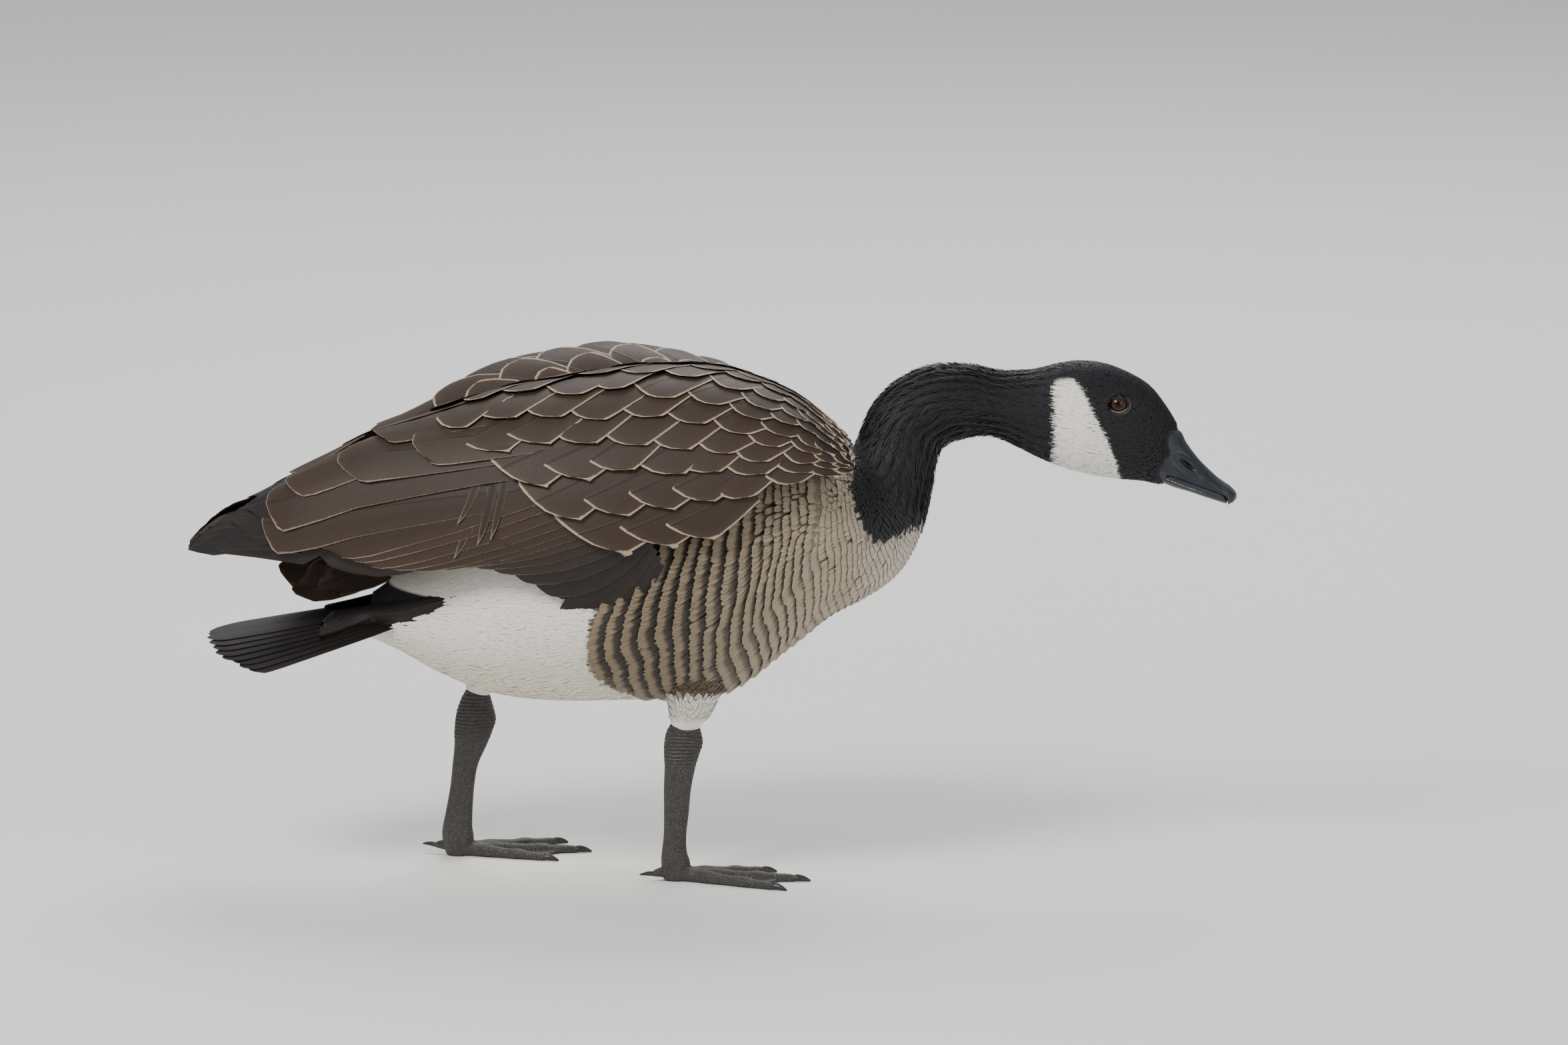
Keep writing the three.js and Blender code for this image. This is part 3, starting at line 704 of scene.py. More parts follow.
# The back's dark feathers, which show between the folded wings and over the rump. They are
# rooted in the skin like the belly's.
def between_wings(points):
    x, y, z = np.moveaxis(points, -1, 0)
    rear = (x < -70) & (z > 205) & (np.abs(y) < 34)
    return rear | ((x > 0) & (x < 72) & (z > 262) & (np.abs(y) < 50))


back = tract(
    "back_plumage", body, 2.4, 12.2, {2: 5.5, 9: 5}, {2: 5, 9: 5}, {2: 20, 12: 18}, {2: 4.6, 12: 4}, 17,
    between_wings, lift=(0.3, 4.5), thick=0.5, arch=0.15, ripple=0.15,
)
coated(back, "plumage_dark")


# The flanks and the breast. Fine tufts stand side by side in upright rows, and as each is dark
# with a pale tip, the rows show as soft bars, broad at the rear and narrow on the breast.
def bowed(place, turn):
    """How far a bar bows from an upright line, in rows, at each turn from the back."""
    degrees = np.degrees(np.abs((turn + math.pi) % (2 * math.pi) - math.pi))
    bow = by_place({40: 0.4, 70: 0.2, 92: -0.08, 108: -0.18, 130: -0.08, 165: 0.25}, degrees)
    wave = 0.025 * np.sin(degrees * 0.13 + place * 2.3) + 0.01 * np.sin(degrees * 0.33 + place * 5.1)
    return bow * by_place({5: 1, 8: 0.8, 11: 0.1, 12: 0}, place) + wave * by_place({5: 1, 14: 2}, place)


def under_wing(place, turn):
    """Flank feathers stand out over the folded wing's front edge."""
    degrees = np.degrees(np.abs((turn + math.pi) % (2 * math.pi) - math.pi))
    near = by_place({6.9: 0, 7.4: 1, 9.6: 1, 11.2: 0}, place)
    return near * by_place({45: 1, 74: 1, 95: 0.4, 112: 0}, degrees)


def bar_paint(shade):
    """Dark feathers with a pale tip, which make the bars."""
    where, tone, share, (along, across, _) = vane_marks(shade)
    x, _, _ = where.millimetres()
    fine = shade.node("CombineXYZ", {}, {0: along * 0.5, 1: across * 1.5, 2: tone * 50})
    streak = fine.noise(1.3, 2)
    pale_part = 4.6 + x.rise(0, 90) * 0.6 + (streak - 0.5) * 1.5 + tone * 1.3
    bars = (pale_part - along).rise(-2.2, 1.8)
    shading = 0.74 + streak * 0.3 + tone * 0.16 + share * 0.06
    ahead = shade.node("VectorMath", {"operation": "ADD"}, {0: where, 1: (0.01, 0, 0)})
    colour = plumage(ahead, tone, bars).times(shading.spread())
    return {"Base Color": colour, "Normal": streak.bump(0.4, 0.0003)}


bar_coat = finish_of("barred_plumage", bar_paint, Roughness=0.7, Sheen_Weight=0.08, Sheen_Roughness=0.5)
FINE = {"steps": (0, 0.1, 0.5, 1), "shares": (0.6, 1, 1, 0.5)}
flanks = tract(
    "flank_plumage", body, 5.0, 10.4, {5: 11.5, 8: 10.5, 10: 8, 11: 6.5}, {5: 1.25, 10: 1.2}, {5: 26, 10: 20},
    {5: 1.5, 10: 1.3}, 21, flank_zone, stray=0.4, loose=0.18, lean=0.28, ruffle=0.07, lift=(0.3, 3.8),
    swell=(3.4, 9, under_wing), rise=1.3, thick=0.4, arch=0.1, ripple=0.06, bend=bowed, **FINE,
)
coated(flanks, "plumage_tan", bar_coat)
breast = tract(
    "breast_plumage", body, 10.2, 14.2, {10: 7.2, 11: 5.8, 12: 4.4, 14: 3.2}, {10: 1.3, 14: 1.25},
    {10: 20, 12: 15, 14: 12}, {10: 1.3, 14: 1.1}, 12, stray=0.4, loose=0.22, ruffle=0.08, lean=0.1,
    lift=(0.3, 2.8), rise=1.2, thick=0.4, arch=0.1, ripple=0.06, bend=bowed, **FINE,
)
coated(breast, "plumage_tan", bar_coat)


# The neck's hair-like black feathers, drawn together in lengthwise furrows. They get finer and
# shorter from the breast up to the nape.
def furrows(place, turn):
    wander = 1.1 * np.sin(place * 1.3) + 0.7 * np.sin(place * 2.9 + turn * 3)
    depth = by_place({14: 1, 20: 1, 22.5: 0.3, 24: 0.1}, place)
    return depth * (0.5 + 0.5 * np.cos(turn * 24 + wander)) ** 1.3


for title, first, last, seed in (("lower", 14, 18.2, 13), ("upper", 18.2, 24, 14)):
    neck = tract(
        "neck_plumage_" + title, body, first, last, {14: 2.3, 24: 2.0}, {14: 1.35, 24: 1.15}, {14: 14, 24: 9},
        {14: 1.0, 24: 0.72}, seed, lift=(0.1, 2.2), swell=(0.9, 3.4, furrows), thick=0.45, arch=0.4,
        ripple=0.15, ruffle=0.1, **HAIR,
    )
    coated(neck, "plumage_black")


# The head's short, dense feathers, smallest on the face. They leave the eyes and the bill bare,
# and end at a curved border behind the bill, which a table gives as x at each level.
BILL_BORDER = {262: 293, 266: 290.5, 272: 292, 277: 296, 281: 299, 289: 297.5, 295: 298, 299: 306, 304: 309}


def on_face(points):
    x, y, z = np.moveaxis(points, -1, 0)
    ahead, above = x - EYE_CENTRE.x, (z - EYE_CENTRE.z) * 1.1
    from_eye = np.minimum(np.hypot(ahead, above), np.hypot(ahead + 3.6, above))
    bare = (from_eye < 7.9) & (np.abs(y) > 10)
    return ~bare & (x < by_place(BILL_BORDER, z) + 1.2)


for title, first, last, seed in (("crown", 24, 26.9, 15), ("face", 26.9, 30.3, 16)):
    head = tract(
        "head_plumage_" + title, body, first, last, {24: 1.75, 30: 1.25}, {24: 1.1, 30: 0.95},
        {24: 6.5, 27: 4.6, 30: 2.8}, {24: 0.7, 30: 0.5}, seed, on_face, lift=(0.05, 1.0), thick=0.3,
        arch=0.4, ripple=0.06, ruffle=0.14, **HAIR,
    )
    coated(head, "plumage_black")


# The folded wings. Each has a thin dark shell against the body, which carries the long flight
# feathers, and rows of coverts and scapulars over their roots, each edged with a pale fringe.
WING = [
    # x, top, bottom, the lobe's middle out from the mirror plane, half its width
    [91, 288, 263, 62, 8],
    [84, 300, 235, 55, 25],
    [67, 314, 210, 47, 43],
    [50, 325, 190, 42, 55],
    [25, 335, 168, 38, 64],
    [0, 340.5, 155, 36, 69],
    [-34, 341.5, 150, 35, 71],
    [-67, 338, 150, 35, 71],
    [-101, 332, 155, 34, 69],
    [-135, 325, 162, 33, 64],
    [-166, 315, 165, 31, 57],
    [-197, 304, 168, 29, 50],
    [-223, 295, 168, 28, 43],
    [-250, 280.5, 168, 26, 37],
    [-276, 266, 168, 23, 31],
    [-300, 252, 195, 17, 18],
    [-325, 240, 210, 12, 10],
    [-345, 220, 213, 9, 4],
]
# How much higher the left wing's upper edge lies at each row.
LEFT_WING_LIFT = [-16, -18, -18, -17, -14, -9, -2, 5, 7, 7, 3, -4, -6, -6, -5, -4, -2, 0]
# The shell's lower edge, as levels along x, and what differs on the left wing between two ends.
HEM = {
    -350: 212, -330: 215.5, -296: 220.5, -262: 221, -250: 206, -236: 201.5, -218: 199.5, -203: 202,
    -190: 206, -176: 209, -149: 210, -126: 206, -108: 197, -100: 189, -86: 185, -72: 186, -62: 203,
    -54: 225, -40: 238, -14: 258, 16: 263, 47: 272, 98: 277,
}
LOW_HEM = {-285: 205, -275: 196, -258: 193, -241: 195, -222: 199, -203: 203}
LOW_HEM_ENDS = (-290, -190)
FEATHER_FRONT = (0.012, 0.0092, 0.008)
FEATHER_BROWN = (0.033, 0.0185, 0.011)
FEATHER_DARK = (0.009, 0.0075, 0.007)
FRINGE_PALE = (0.43, 0.33, 0.23)


def feather_paint(shade):
    """A wing feather: dark brown, lighter towards its margin, with barbs, a shaft and a pale fringe.
    Its kind runs from 0 on the foremost coverts to 1 on black flight feathers."""
    _, tone, share, (along, across, edge) = vane_marks(shade)
    kind = shade.attribute("kind")
    fine = shade.node("CombineXYZ", {}, {0: along + across.abs() * 1.3, 1: across * 0.1, 2: tone * 60})
    barbs = fine.noise(1.4, 2)
    hairs = fine.noise(5, 1)
    base = (kind + tone * 0.03).rise(0.02, 0.12).mix(FEATHER_FRONT, FEATHER_BROWN)
    base = kind.rise(0.28, 0.65).mix(base, FEATHER_DARK)
    lighter = (edge.rise(8, 1) * 0.22 * (1 - kind) + tone * 0.08).mix(base, (0.09, 0.055, 0.035))
    long = kind.rise(0.13, 0.19)
    wide = 0.8 + share.rise(0.55, 0.95) * 0.4 + kind.rise(0.02, 0.12) * 0.35 - long * 0.95 - kind * 0.3
    fringe = (wide + (hairs - 0.5) * 1.9 - edge).rise(-0.3, 0.5) * (1.0 - kind * 1.15).most(0.04)
    colour = fringe.mix(lighter, FRINGE_PALE)
    colour = ((0.55 - across.abs()).rise(-0.2, 0.2) * edge.rise(0.5, 2)).mix(colour, (0.02, 0.014, 0.011))
    shading = (0.7 + barbs * 0.42 + share * 0.1).spread()
    height = barbs * 0.6 + (1.1 - across.abs()).rise(0, 0.8) * 1.2
    rough = 0.46 + barbs * 0.2
    return {"Base Color": colour.times(shading), "Normal": height.bump(0.5, 0.0004), "Roughness": rough}


def shell_paint(shade):
    where = shade.here()
    grain = where.times((1, 1, 4)).noise(160, 3)
    colour = grain.mix((0.014, 0.01, 0.008), (0.035, 0.023, 0.017))
    return {"Base Color": colour, "Normal": grain.bump(0.4, 0.0006)}


feather_coat = finish_of("wing_feathers", feather_paint, Specular_IOR_Level=0.32)
shell_coat = finish_of("wing_underlayer", shell_paint, Roughness=0.8)

QUILL = {
    "columns": (-1, -0.9, -0.55, -0.08, 0.08, 0.55, 0.9, 1),
    "steps": (0, 0.025, 0.07, 0.15, 0.3, 0.5, 0.72, 1),
    "shares": (0.4, 0.72, 0.9, 1, 1, 0.94, 0.8, 0.5),
}
COVERT = {
    "columns": (-1, -0.9, -0.68, -0.4, -0.06, 0.06, 0.4, 0.68, 0.9, 1),
    "steps": (0, 0.04, 0.11, 0.24, 0.45, 0.72, 1),
    "shares": (0.93, 0.98, 1, 1, 0.95, 0.8, 0.55),
}
BLUNT_QUILL = {**QUILL, "shares": (0.72, 0.88, 0.97, 1, 1, 0.94, 0.8, 0.5)}
SPLIT_TIP = {
    "columns": (-1, -0.45, 0.45, 1),
    "steps": (0, 0.08, 0.2, 0.4, 0.65, 1),
    "shares": (0.08, 0.26, 0.5, 0.78, 1, 1),
}
# Long feathers as tip place, tip turn, root place, root turn (in degrees), half width, lift of
# the root and of the tip, and kind. They lie from the lowest layer up.
PRIMARIES = [
    (17.0, 102, 10.5, 62, 7.5, -3.0, 0.2, 0.95),
    (16.8, 92, 10.5, 59, 8, -2.6, 0.6, 0.95),
    (16.5, 80, 10.5, 57, 9, -2.2, 0.9, 0.9),
    (16.15, 64, 10.4, 54, 10, -1.8, 1.2, 0.9),
    (15.75, 48, 10.3, 55, 11, -1.4, 1.5, 0.85),
    (15.3, 28, 10.2, 48, 12, -1.0, 1.8, 0.8),
]
SECONDARY_TIPS = [
    (7.1, 122), (7.4, 126), (7.95, 128), (8.4, 116), (8.9, 109.5), (9.46, 105), (9.95, 102), (10.5, 100.5),
    (11.0, 101.5), (11.5, 101.7), (12.0, 99.5), (12.5, 96), (12.95, 89), (13.3, 83),
]
LOW_SECONDARY_TIPS = [
    (7.1, 122), (7.4, 126), (7.95, 128), (8.4, 118), (8.9, 113), (9.46, 110), (9.95, 109), (10.5, 111),
    (11.0, 116), (11.7, 122), (12.6, 130), (13.5, 138), (14.1, 141), (14.45, 124),
]
TERTIALS = [
    (14.75, 60, 7.4, 70, 17, -0.6, 2.0, 0.3),
    (14.62, 36, 7.3, 58, 18, -0.2, 2.8, 0.28),
    (14.1, 12, 7.3, 44, 18, 0.1, 3.0, 0.25),
    (12.75, 26, 7.2, 50, 18, 0.3, 3.6, 0.22),
    (11.9, 4, 7.1, 26, 17, 0.3, 3.6, 0.22),
    (12.2, -22, 7.1, -10, 17, 0.2, 3.0, 0.24),
    (10.9, 34, 6.7, 42, 17, 0.5, 4.2, 0.2),
]
# A few split tips that hang loose under the near wing's tertials.
FRAYED = [
    (10.05, 102.5, 9.3, 54, 4.2, -0.8, 2.6, 0.4),
    (9.97, 85, 9.4, 52, 3.0, -0.6, 3.2, 0.4),
    (9.55, 96.5, 9.1, 52, 3.6, -0.8, 2.5, 0.4),
    (9.27, 94, 8.9, 53, 3.0, -0.8, 2.4, 0.4),
]
# Tip lines of the coverts and scapulars, as places at these turns from the ridge down.
LINE_TURNS = [-40, -25, 0, 20, 35, 50, 60, 72, 85, 95, 106]
FRONT_LINE = [2.6, 2.2, 1.5, 1.1, 0.8, 0.5, 0.3, 0.0, -0.3, -0.6, -1.0]
MIDDLE_LINE = [6.6, 6.5, 6.15, 5.75, 5.35, 4.8, 4.4, 3.6, 2.9, 2.3, 1.6]
REAR_LINE = [10.3, 10.5, 10.6, 10.4, 10.1, 9.5, 9.1, 8.6, 8.0, 7.3, 6.5]
LOWER_BORDER = {1.2: 74, 3.1: 75, 4.35: 80, 5.43: 83, 6.2: 95, 6.6: 105, 7.4: 110}
COVERT_RUN = 262  # from the wing's front edge back to the last row's tips
COVERT_TURNS = (-34, 106)  # from over the ridge down to the lowest tips
COVERT_EXPOSURE = (4.5, 24)  # what the next row leaves uncovered, at the front and the rear
COVERT_GAP = (19, 33)  # from one to the next in a row, at the front and the rear
SHELL_DEPTHS = (5.5, 13)
SHELL_POINTS = 30  # across the shell, from its upper edge to the hem


def lobe_ring(side, depth):
    """Rings round a wing's lobe, sunk by a depth under its feathers' outline."""
    def ring(values, turn, place):
        x, top, bottom, middle, half_width = np.moveaxis(values, -1, 0)
        half_height = (top - bottom) / 2
        sunk = np.minimum(depth, 0.4 * np.minimum(half_width, half_height))
        y = side * (middle + np.sin(turn) * (half_width - sunk))
        z = (top + bottom) / 2 + np.cos(turn) * (half_height - sunk)
        return np.stack([x + 0 * turn, y, z], -1)

    return ring


def outer_values(rows, place):
    """A row between the rows of a table, by the same smooth curve as a loft's."""
    return Loft(rows, lambda values, turn, place: values).at(np.array(place), 0)


def wing_shell(name, rows, side, hem):
    """The dark layer under the feathers, from near the mirror plane over the top to the hem."""
    outer, inner = (Loft(rows, lobe_ring(side, depth)) for depth in SHELL_DEPTHS)
    rings = []
    for place in np.linspace(1.6, len(rows) - 1, 130):
        x, top, bottom, middle, half_width = outer_values(rows, place)
        start = -math.asin(min((middle - 3) / half_width, 1)) if half_width > 0 else 0
        level = by_place(hem, x) + 5 - (top + bottom) / 2
        end = math.acos(np.clip(level / ((top - bottom) / 2), -0.98, 0.9))
        turns = np.linspace(start, end, SHELL_POINTS)
        places = np.full(SHELL_POINTS, place)
        rings.append(np.concatenate([outer.at(places, turns), inner.at(places, turns)[::-1]]))
    return closed_mesh(name, [tube(np.array(rings))])


def covert_exposure(share):
    """How much of a covert shows: more and more over the run's front half, and then the same."""
    front, rear = COVERT_EXPOSURE
    return front + (rear - front) * min(share / 0.5, 1) ** 1.5


def covert_paths(lobe, rng):
    """Tips, lengths, widths and slants of the coverts and scapulars, in rows from the front."""
    found = []
    shares = [0.0]
    while shares[-1] < 1:
        shares.append(shares[-1] + covert_exposure(shares[-1]) / COVERT_RUN)
    for row, share in enumerate(np.array(shares) / shares[-1]):
        front = (1 - share) * (1 - 2 * share)
        middle = 4 * share * (1 - share)
        rear = share * (2 * share - 1)
        line = front * np.array(FRONT_LINE) + middle * np.array(MIDDLE_LINE) + rear * np.array(REAR_LINE)
        turns = np.radians(np.linspace(*COVERT_TURNS, 141))
        places = np.interp(np.degrees(turns), LINE_TURNS, line)
        points = lobe.at(places, turns)
        run = np.concatenate([[0], np.cumsum(np.linalg.norm(np.diff(points, axis=0), axis=1))])
        exposure = covert_exposure(share)
        gap = COVERT_GAP[0] + (COVERT_GAP[1] - COVERT_GAP[0]) * share
        count = int(run[-1] / gap)
        marks = (np.arange(count) + 0.5 * (row % 2) + rng.uniform(-0.12, 0.12, count)) * gap
        turn = np.interp(marks, run, turns)
        place = np.interp(marks, run, places) + rng.normal(0, 0.035, count)
        lowest = np.radians(by_place(LOWER_BORDER, place))
        kept = (turn < lowest) & (place > 0.05)
        ways = [np.interp(marks, run, np.gradient(points[:, k], run)) for k in range(3)]
        for p, t, *way in zip(*(values[kept] for values in (place, turn, *ways))):
            found.append((p, t, exposure * 1.9 + 18, gap * 0.68, share, *way))
    return np.array(found).T


def feathered_wing(name, rows, side, secondary_tips, seed):
    """All the feathers of a folded wing, laid on its lobe from the lowest layer up."""
    rng = np.random.default_rng(seed)
    lobe = Loft(rows, lobe_ring(side, 1.0), outward=-side, tailward=1)
    groups = []

    def laid(table, shape, **form):
        tip, tip_turn, root, root_turn, half, low, high, kind = np.array(table, float).T
        steps = np.array(shape["steps"])
        place = tip[:, None] + (root - tip)[:, None] * steps
        bend = 5 * np.sin(math.pi * steps)
        turn = np.radians(tip_turn[:, None] + (root_turn - tip_turn)[:, None] * steps + bend)
        form.update(shape, lift=(low, high), map=cell_map)
        groups.append((vanes(name + str(len(groups)), lobe, place, turn, half, rng, **form), kind))

    primaries = np.array(PRIMARIES)
    if side > 0:
        primaries[:, [1, 3]] -= (20, 12)
    laid(primaries, QUILL, arch=0.03, blunt=0.9, thick=0.6, tilt=side * -0.06, slant=side * -0.3)
    # From the foremost to the rearmost, secondaries change evenly in root, width, lift and kind.
    tips = np.array(secondary_tips)
    step = np.linspace(0, 1, len(tips))
    secondaries = np.stack([
        tips[:, 0], tips[:, 1], 6.0 + 0.8 * step, 104 - 44 * step, 9 + 8 * step**2,
        -2.4 + 2.6 * step, -1.6 + 2.8 * step, 0.72 - 0.5 * step,
    ], -1)
    laid(secondaries, QUILL, arch=0.02, blunt=0.6, thick=0.5, tilt=side * -0.08)
    laid(TERTIALS, BLUNT_QUILL, arch=0.04, blunt=0.45, thick=0.7, slant=side * -0.35, tilt=side * -0.07)
    if side < 0:
        laid(FRAYED, SPLIT_TIP, arch=0.04, blunt=0.2, thick=0.35)
    place, turn, length, half, share, *line = covert_paths(lobe, rng)
    lean = np.radians(44 - 24 * share) + rng.normal(0, 0.04, len(place))
    lie, down, out = lobe.frame(place, turn)
    way = lie * np.cos(lean)[:, None] + down * np.sin(lean)[:, None]
    line = np.stack(line, -1)
    slant = -np.sum(line * way, -1) / np.sum(line * np.cross(out, way), -1)
    paths = marched(lobe, place, turn, length, lean, COVERT["steps"])
    whole = paths[0][:, :-1].min(axis=1) > -lobe.OVERRUN
    paths = [path[whole] for path in paths]
    half, slant, share = half[whole], slant[whole], share[whole]
    piece = vanes(
        name + "_coverts", lobe, *paths, half, rng, lift=(0.4, 2.8), arch=0.05, blunt=0.1, thick=0.5,
        corner=-side * 0.56, slant=np.clip(slant, -0.9, 0.9), tilt=side * -0.13, map=cell_map, **COVERT,
    )
    groups.append((piece, 0.02 + 0.1 * np.clip(share / 0.7, 0, 1)))
    return joined_feathers(name, groups)


def joined_feathers(name, groups):
    """One piece of several groups of feathers, each in a cell of one shared grid."""
    total = sum(len(kind) for _, kind in groups)
    wide = math.ceil(math.sqrt(total))
    first = 0
    for piece, kind in groups:
        mesh = piece.data
        each = len(mesh.vertices) // len(kind)
        marked(mesh, "kind", np.repeat(kind, each))
        flat = np.zeros(len(mesh.loops) * 2, np.float32)
        mesh.uv_layers["OFBake"].data.foreach_get("uv", flat)
        own = math.ceil(math.sqrt(len(kind)))
        uv = flat.reshape(len(kind), -1, 2) * own
        cell = np.arange(len(kind))
        uv -= np.stack([cell % own, cell // own], -1)[:, None]
        cell = cell + first
        uv += np.stack([cell % wide, cell // wide], -1)[:, None]
        mesh.uv_layers["OFBake"].data.foreach_set("uv", (uv / wide).astype(np.float32).ravel())
        first += len(kind)
    pieces = [piece for piece, _ in groups]
    with bpy.context.temp_override(active_object=pieces[0], selected_editable_objects=pieces):
        bpy.ops.object.join()
    pieces[0].name = name
    return pieces[0]


for side_name, side in SIDES.items():
    lift = [0] * len(WING) if side < 0 else LEFT_WING_LIFT
    rows = [[x, top + up, *rest] for (x, top, *rest), up in zip(WING, lift)]
    hem = HEM
    if side > 0:
        rear, front = LOW_HEM_ENDS
        kept = {x: z for x, z in HEM.items() if x > front or x < rear}
        hem = dict(sorted({**kept, **LOW_HEM}.items()))
    shell = wing_shell("wing_underlayer_" + side_name, rows, side, hem)
    shell.data.materials.append(shell_coat)
    settle(shell, "plumage_dark", "wing_" + side_name + "_secondaries")
    tips = SECONDARY_TIPS if side < 0 else LOW_SECONDARY_TIPS
    feathers = feathered_wing("wing_feathers_" + side_name, rows, side, tips, 31 if side < 0 else 32)
    feathers.data.materials.append(feather_coat)
    settle(feathers, "plumage_brown")
    for group in ("scapulars", "coverts", "tertials", "primaries"):
        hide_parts("wing_" + side_name + "_" + group)


# The tail: sixteen stiff black feathers in a half-spread fan, a little lower on the right. They
# are rooted side by side in the rump, and the outer ones are the shortest.
TAIL_PIVOT = np.array([-188, 0, 178.0])
TAIL_DIP = math.radians(9.5)
TAIL_ROLL = math.radians(6)
TAIL_SPREAD = math.radians(25)
TAIL_FEATHERS = 16
# On the fan a place of 1 is 50 mm towards the tips, and a turn of 1 is 100 mm to the left. It sags
# by 7 mm at 63 mm from its middle.
FAN_ROW = 50
FAN_TURN = 100
FAN_SAG = (7, 63)
rearward = np.array([-math.cos(TAIL_DIP), 0, -math.sin(TAIL_DIP)])
crosswise = np.array(Matrix.Rotation(-TAIL_ROLL, 3, Vector(rearward)) @ Vector((0, 1, 0)))
tail_up = np.cross(crosswise, rearward)


def tail_ring(values, turn, place):
    reach = values[..., 0]
    offset = turn * FAN_TURN
    sunk = FAN_SAG[0] * (offset / FAN_SAG[1]) ** 2
    return (
        TAIL_PIVOT
        + reach[..., None] * rearward
        + (offset + 0 * reach)[..., None] * crosswise
        - (sunk + 0 * reach)[..., None] * tail_up
    )


tail_fan = Loft([[FAN_ROW * k] for k in range(-1, 5)], tail_ring, outward=-1, tailward=1)
rng = np.random.default_rng(41)
fan = np.linspace(-1, 1, TAIL_FEATHERS)
reach = 147 - 16 * fan**2 + rng.uniform(-1.5, 1.5, TAIL_FEATHERS)
angle = fan * TAIL_SPREAD
steps = np.array(QUILL["steps"])
place = (reach * np.cos(angle))[:, None] * (1 - steps) + 6 * steps
turn = (reach * np.sin(angle))[:, None] * (1 - steps) + (fan * 24)[:, None] * steps
tail = vanes(
    "tail_feathers", tail_fan, place / FAN_ROW + 1, turn / FAN_TURN, np.full(TAIL_FEATHERS, 12.5), rng,
    lift=(2.0 - np.abs(fan) * 2, 2.5 - np.abs(fan) * 7), arch=0.06, blunt=0.5, thick=0.8,
    tilt=-np.sign(fan) * 0.05, map=cell_map, **BLUNT_QUILL,
)
marked(tail.data, "kind", np.ones(len(tail.data.vertices)))
tail.data.materials.append(feather_coat)
settle(tail, "plumage_dark", "tail")

# The outer tail feathers' dark bases come out on each side of the rump, between the white
# coverts above and below the tail.
OUTER_TAIL = [
    (0.2, 96, 4.3, 74, 8.5, 0.5, 2.6),
    (0.6, 106, 4.1, 81, 8, 0.2, 2.0),
    (1.0, 118, 3.7, 88, 7, 0.0, 1.5),
]
for side_name, side in SIDES.items():
    tip, tip_turn, root, root_turn, half, low, high = np.array(OUTER_TAIL).T
    place = tip[:, None] + (root - tip)[:, None] * steps
    turn = side * np.radians(tip_turn[:, None] + (root_turn - tip_turn)[:, None] * steps)
    bases = vanes(
        "tail_side_feathers_" + side_name, body, place, turn, half, rng, lift=(low, high), arch=0.2,
        blunt=0.7, thick=0.8, map=cell_map, **QUILL,
    )
    marked(bases.data, "kind", np.ones(len(bases.data.vertices)))
    bases.data.materials.append(feather_coat)
    settle(bases, "plumage_dark")


# Each eye is a dark ball set in the head, with a brown iris, a black pupil and a clear wet
# surface, held by a rim of bare lid that is paler below.
EYE_RADIUS = 6.8
EYE_AXIS = Vector((0.05, 1, 0.06)).normalized()
EYE_OPENING = (6.1, 4.7)  # half its length and half its height
CLEAR_BULGE = 0.35
WET = {"Coat_Weight": 0.3, "Coat_Roughness": 0.02, "IOR": 1.2}
# The lid in section, from its edge on the eye out under the feathers: step out from the opening,
# how far it has left the eye for the head's skin, and how far it swells.
LID = (
    (0.0, 0, 0.1), (0.12, 0, 0.55), (0.5, 0.1, 0.85), (0.95, 0.35, 0.5), (1.4, 0.75, 0.1),
    (1.9, 1, 0.25), (2.5, 1, 0.45), (3.2, 1, 0.25), (4.0, 1, -0.6),
)
LID_SIDES = 48


def eye_paint(side):
    """Rings of colour round the axis that the eye looks along."""

    def paint(shade):
        centre = Vector((EYE_CENTRE.x, side * EYE_CENTRE.y, EYE_CENTRE.z)) * MM
        axis = Vector((EYE_AXIS.x, side * EYE_AXIS.y, EYE_AXIS.z))
        where = shade.here()
        away = shade.node("VectorMath", {"operation": "SUBTRACT"}, {0: where, 1: tuple(centre)})
        depth = shade.node("VectorMath", {"operation": "DOT_PRODUCT"}, {0: away, 1: tuple(axis)}, output=1)
        span = shade.node("VectorMath", {"operation": "LENGTH"}, {0: away}, output=1)
        ring = shade.math("SQRT", (span * span - depth * depth).most(0)) * (1 / MM)
        flecks = where.noise(2200, 2)
        iris = (flecks * 0.9).mix((0.022, 0.007, 0.002), (0.075, 0.025, 0.006))
        iris = (ring + flecks * 0.3).rise(4.3, 5.2).mix(iris, (0.007, 0.004, 0.003))
        colour = (ring + flecks * 0.12).rise(2.55, 2.3).mix(iris, (0.002, 0.002, 0.002))
        return {"Base Color": colour, "Roughness": flecks * 0.04 + 0.05}

    return paint


def lid_paint(shade):
    """Grey-black skin, with a pale line along the lower lid."""
    where = shade.here()
    x, _, z = where.millimetres()
    grain = where.noise(1500, 3)
    lower = (EYE_CENTRE.z - 1.4 - z).rise(0, 1.8) * (x - EYE_CENTRE.x + 5.4).rise(0, 2)
    rim = shade.attribute("rim")
    colour = (lower * rim.rise(0.5, 0.9) * (0.35 + grain * 0.5)).mix((0.01, 0.009, 0.01), (0.36, 0.32, 0.27))
    return {"Base Color": colour, "Normal": grain.bump(0.4, 0.0002)}


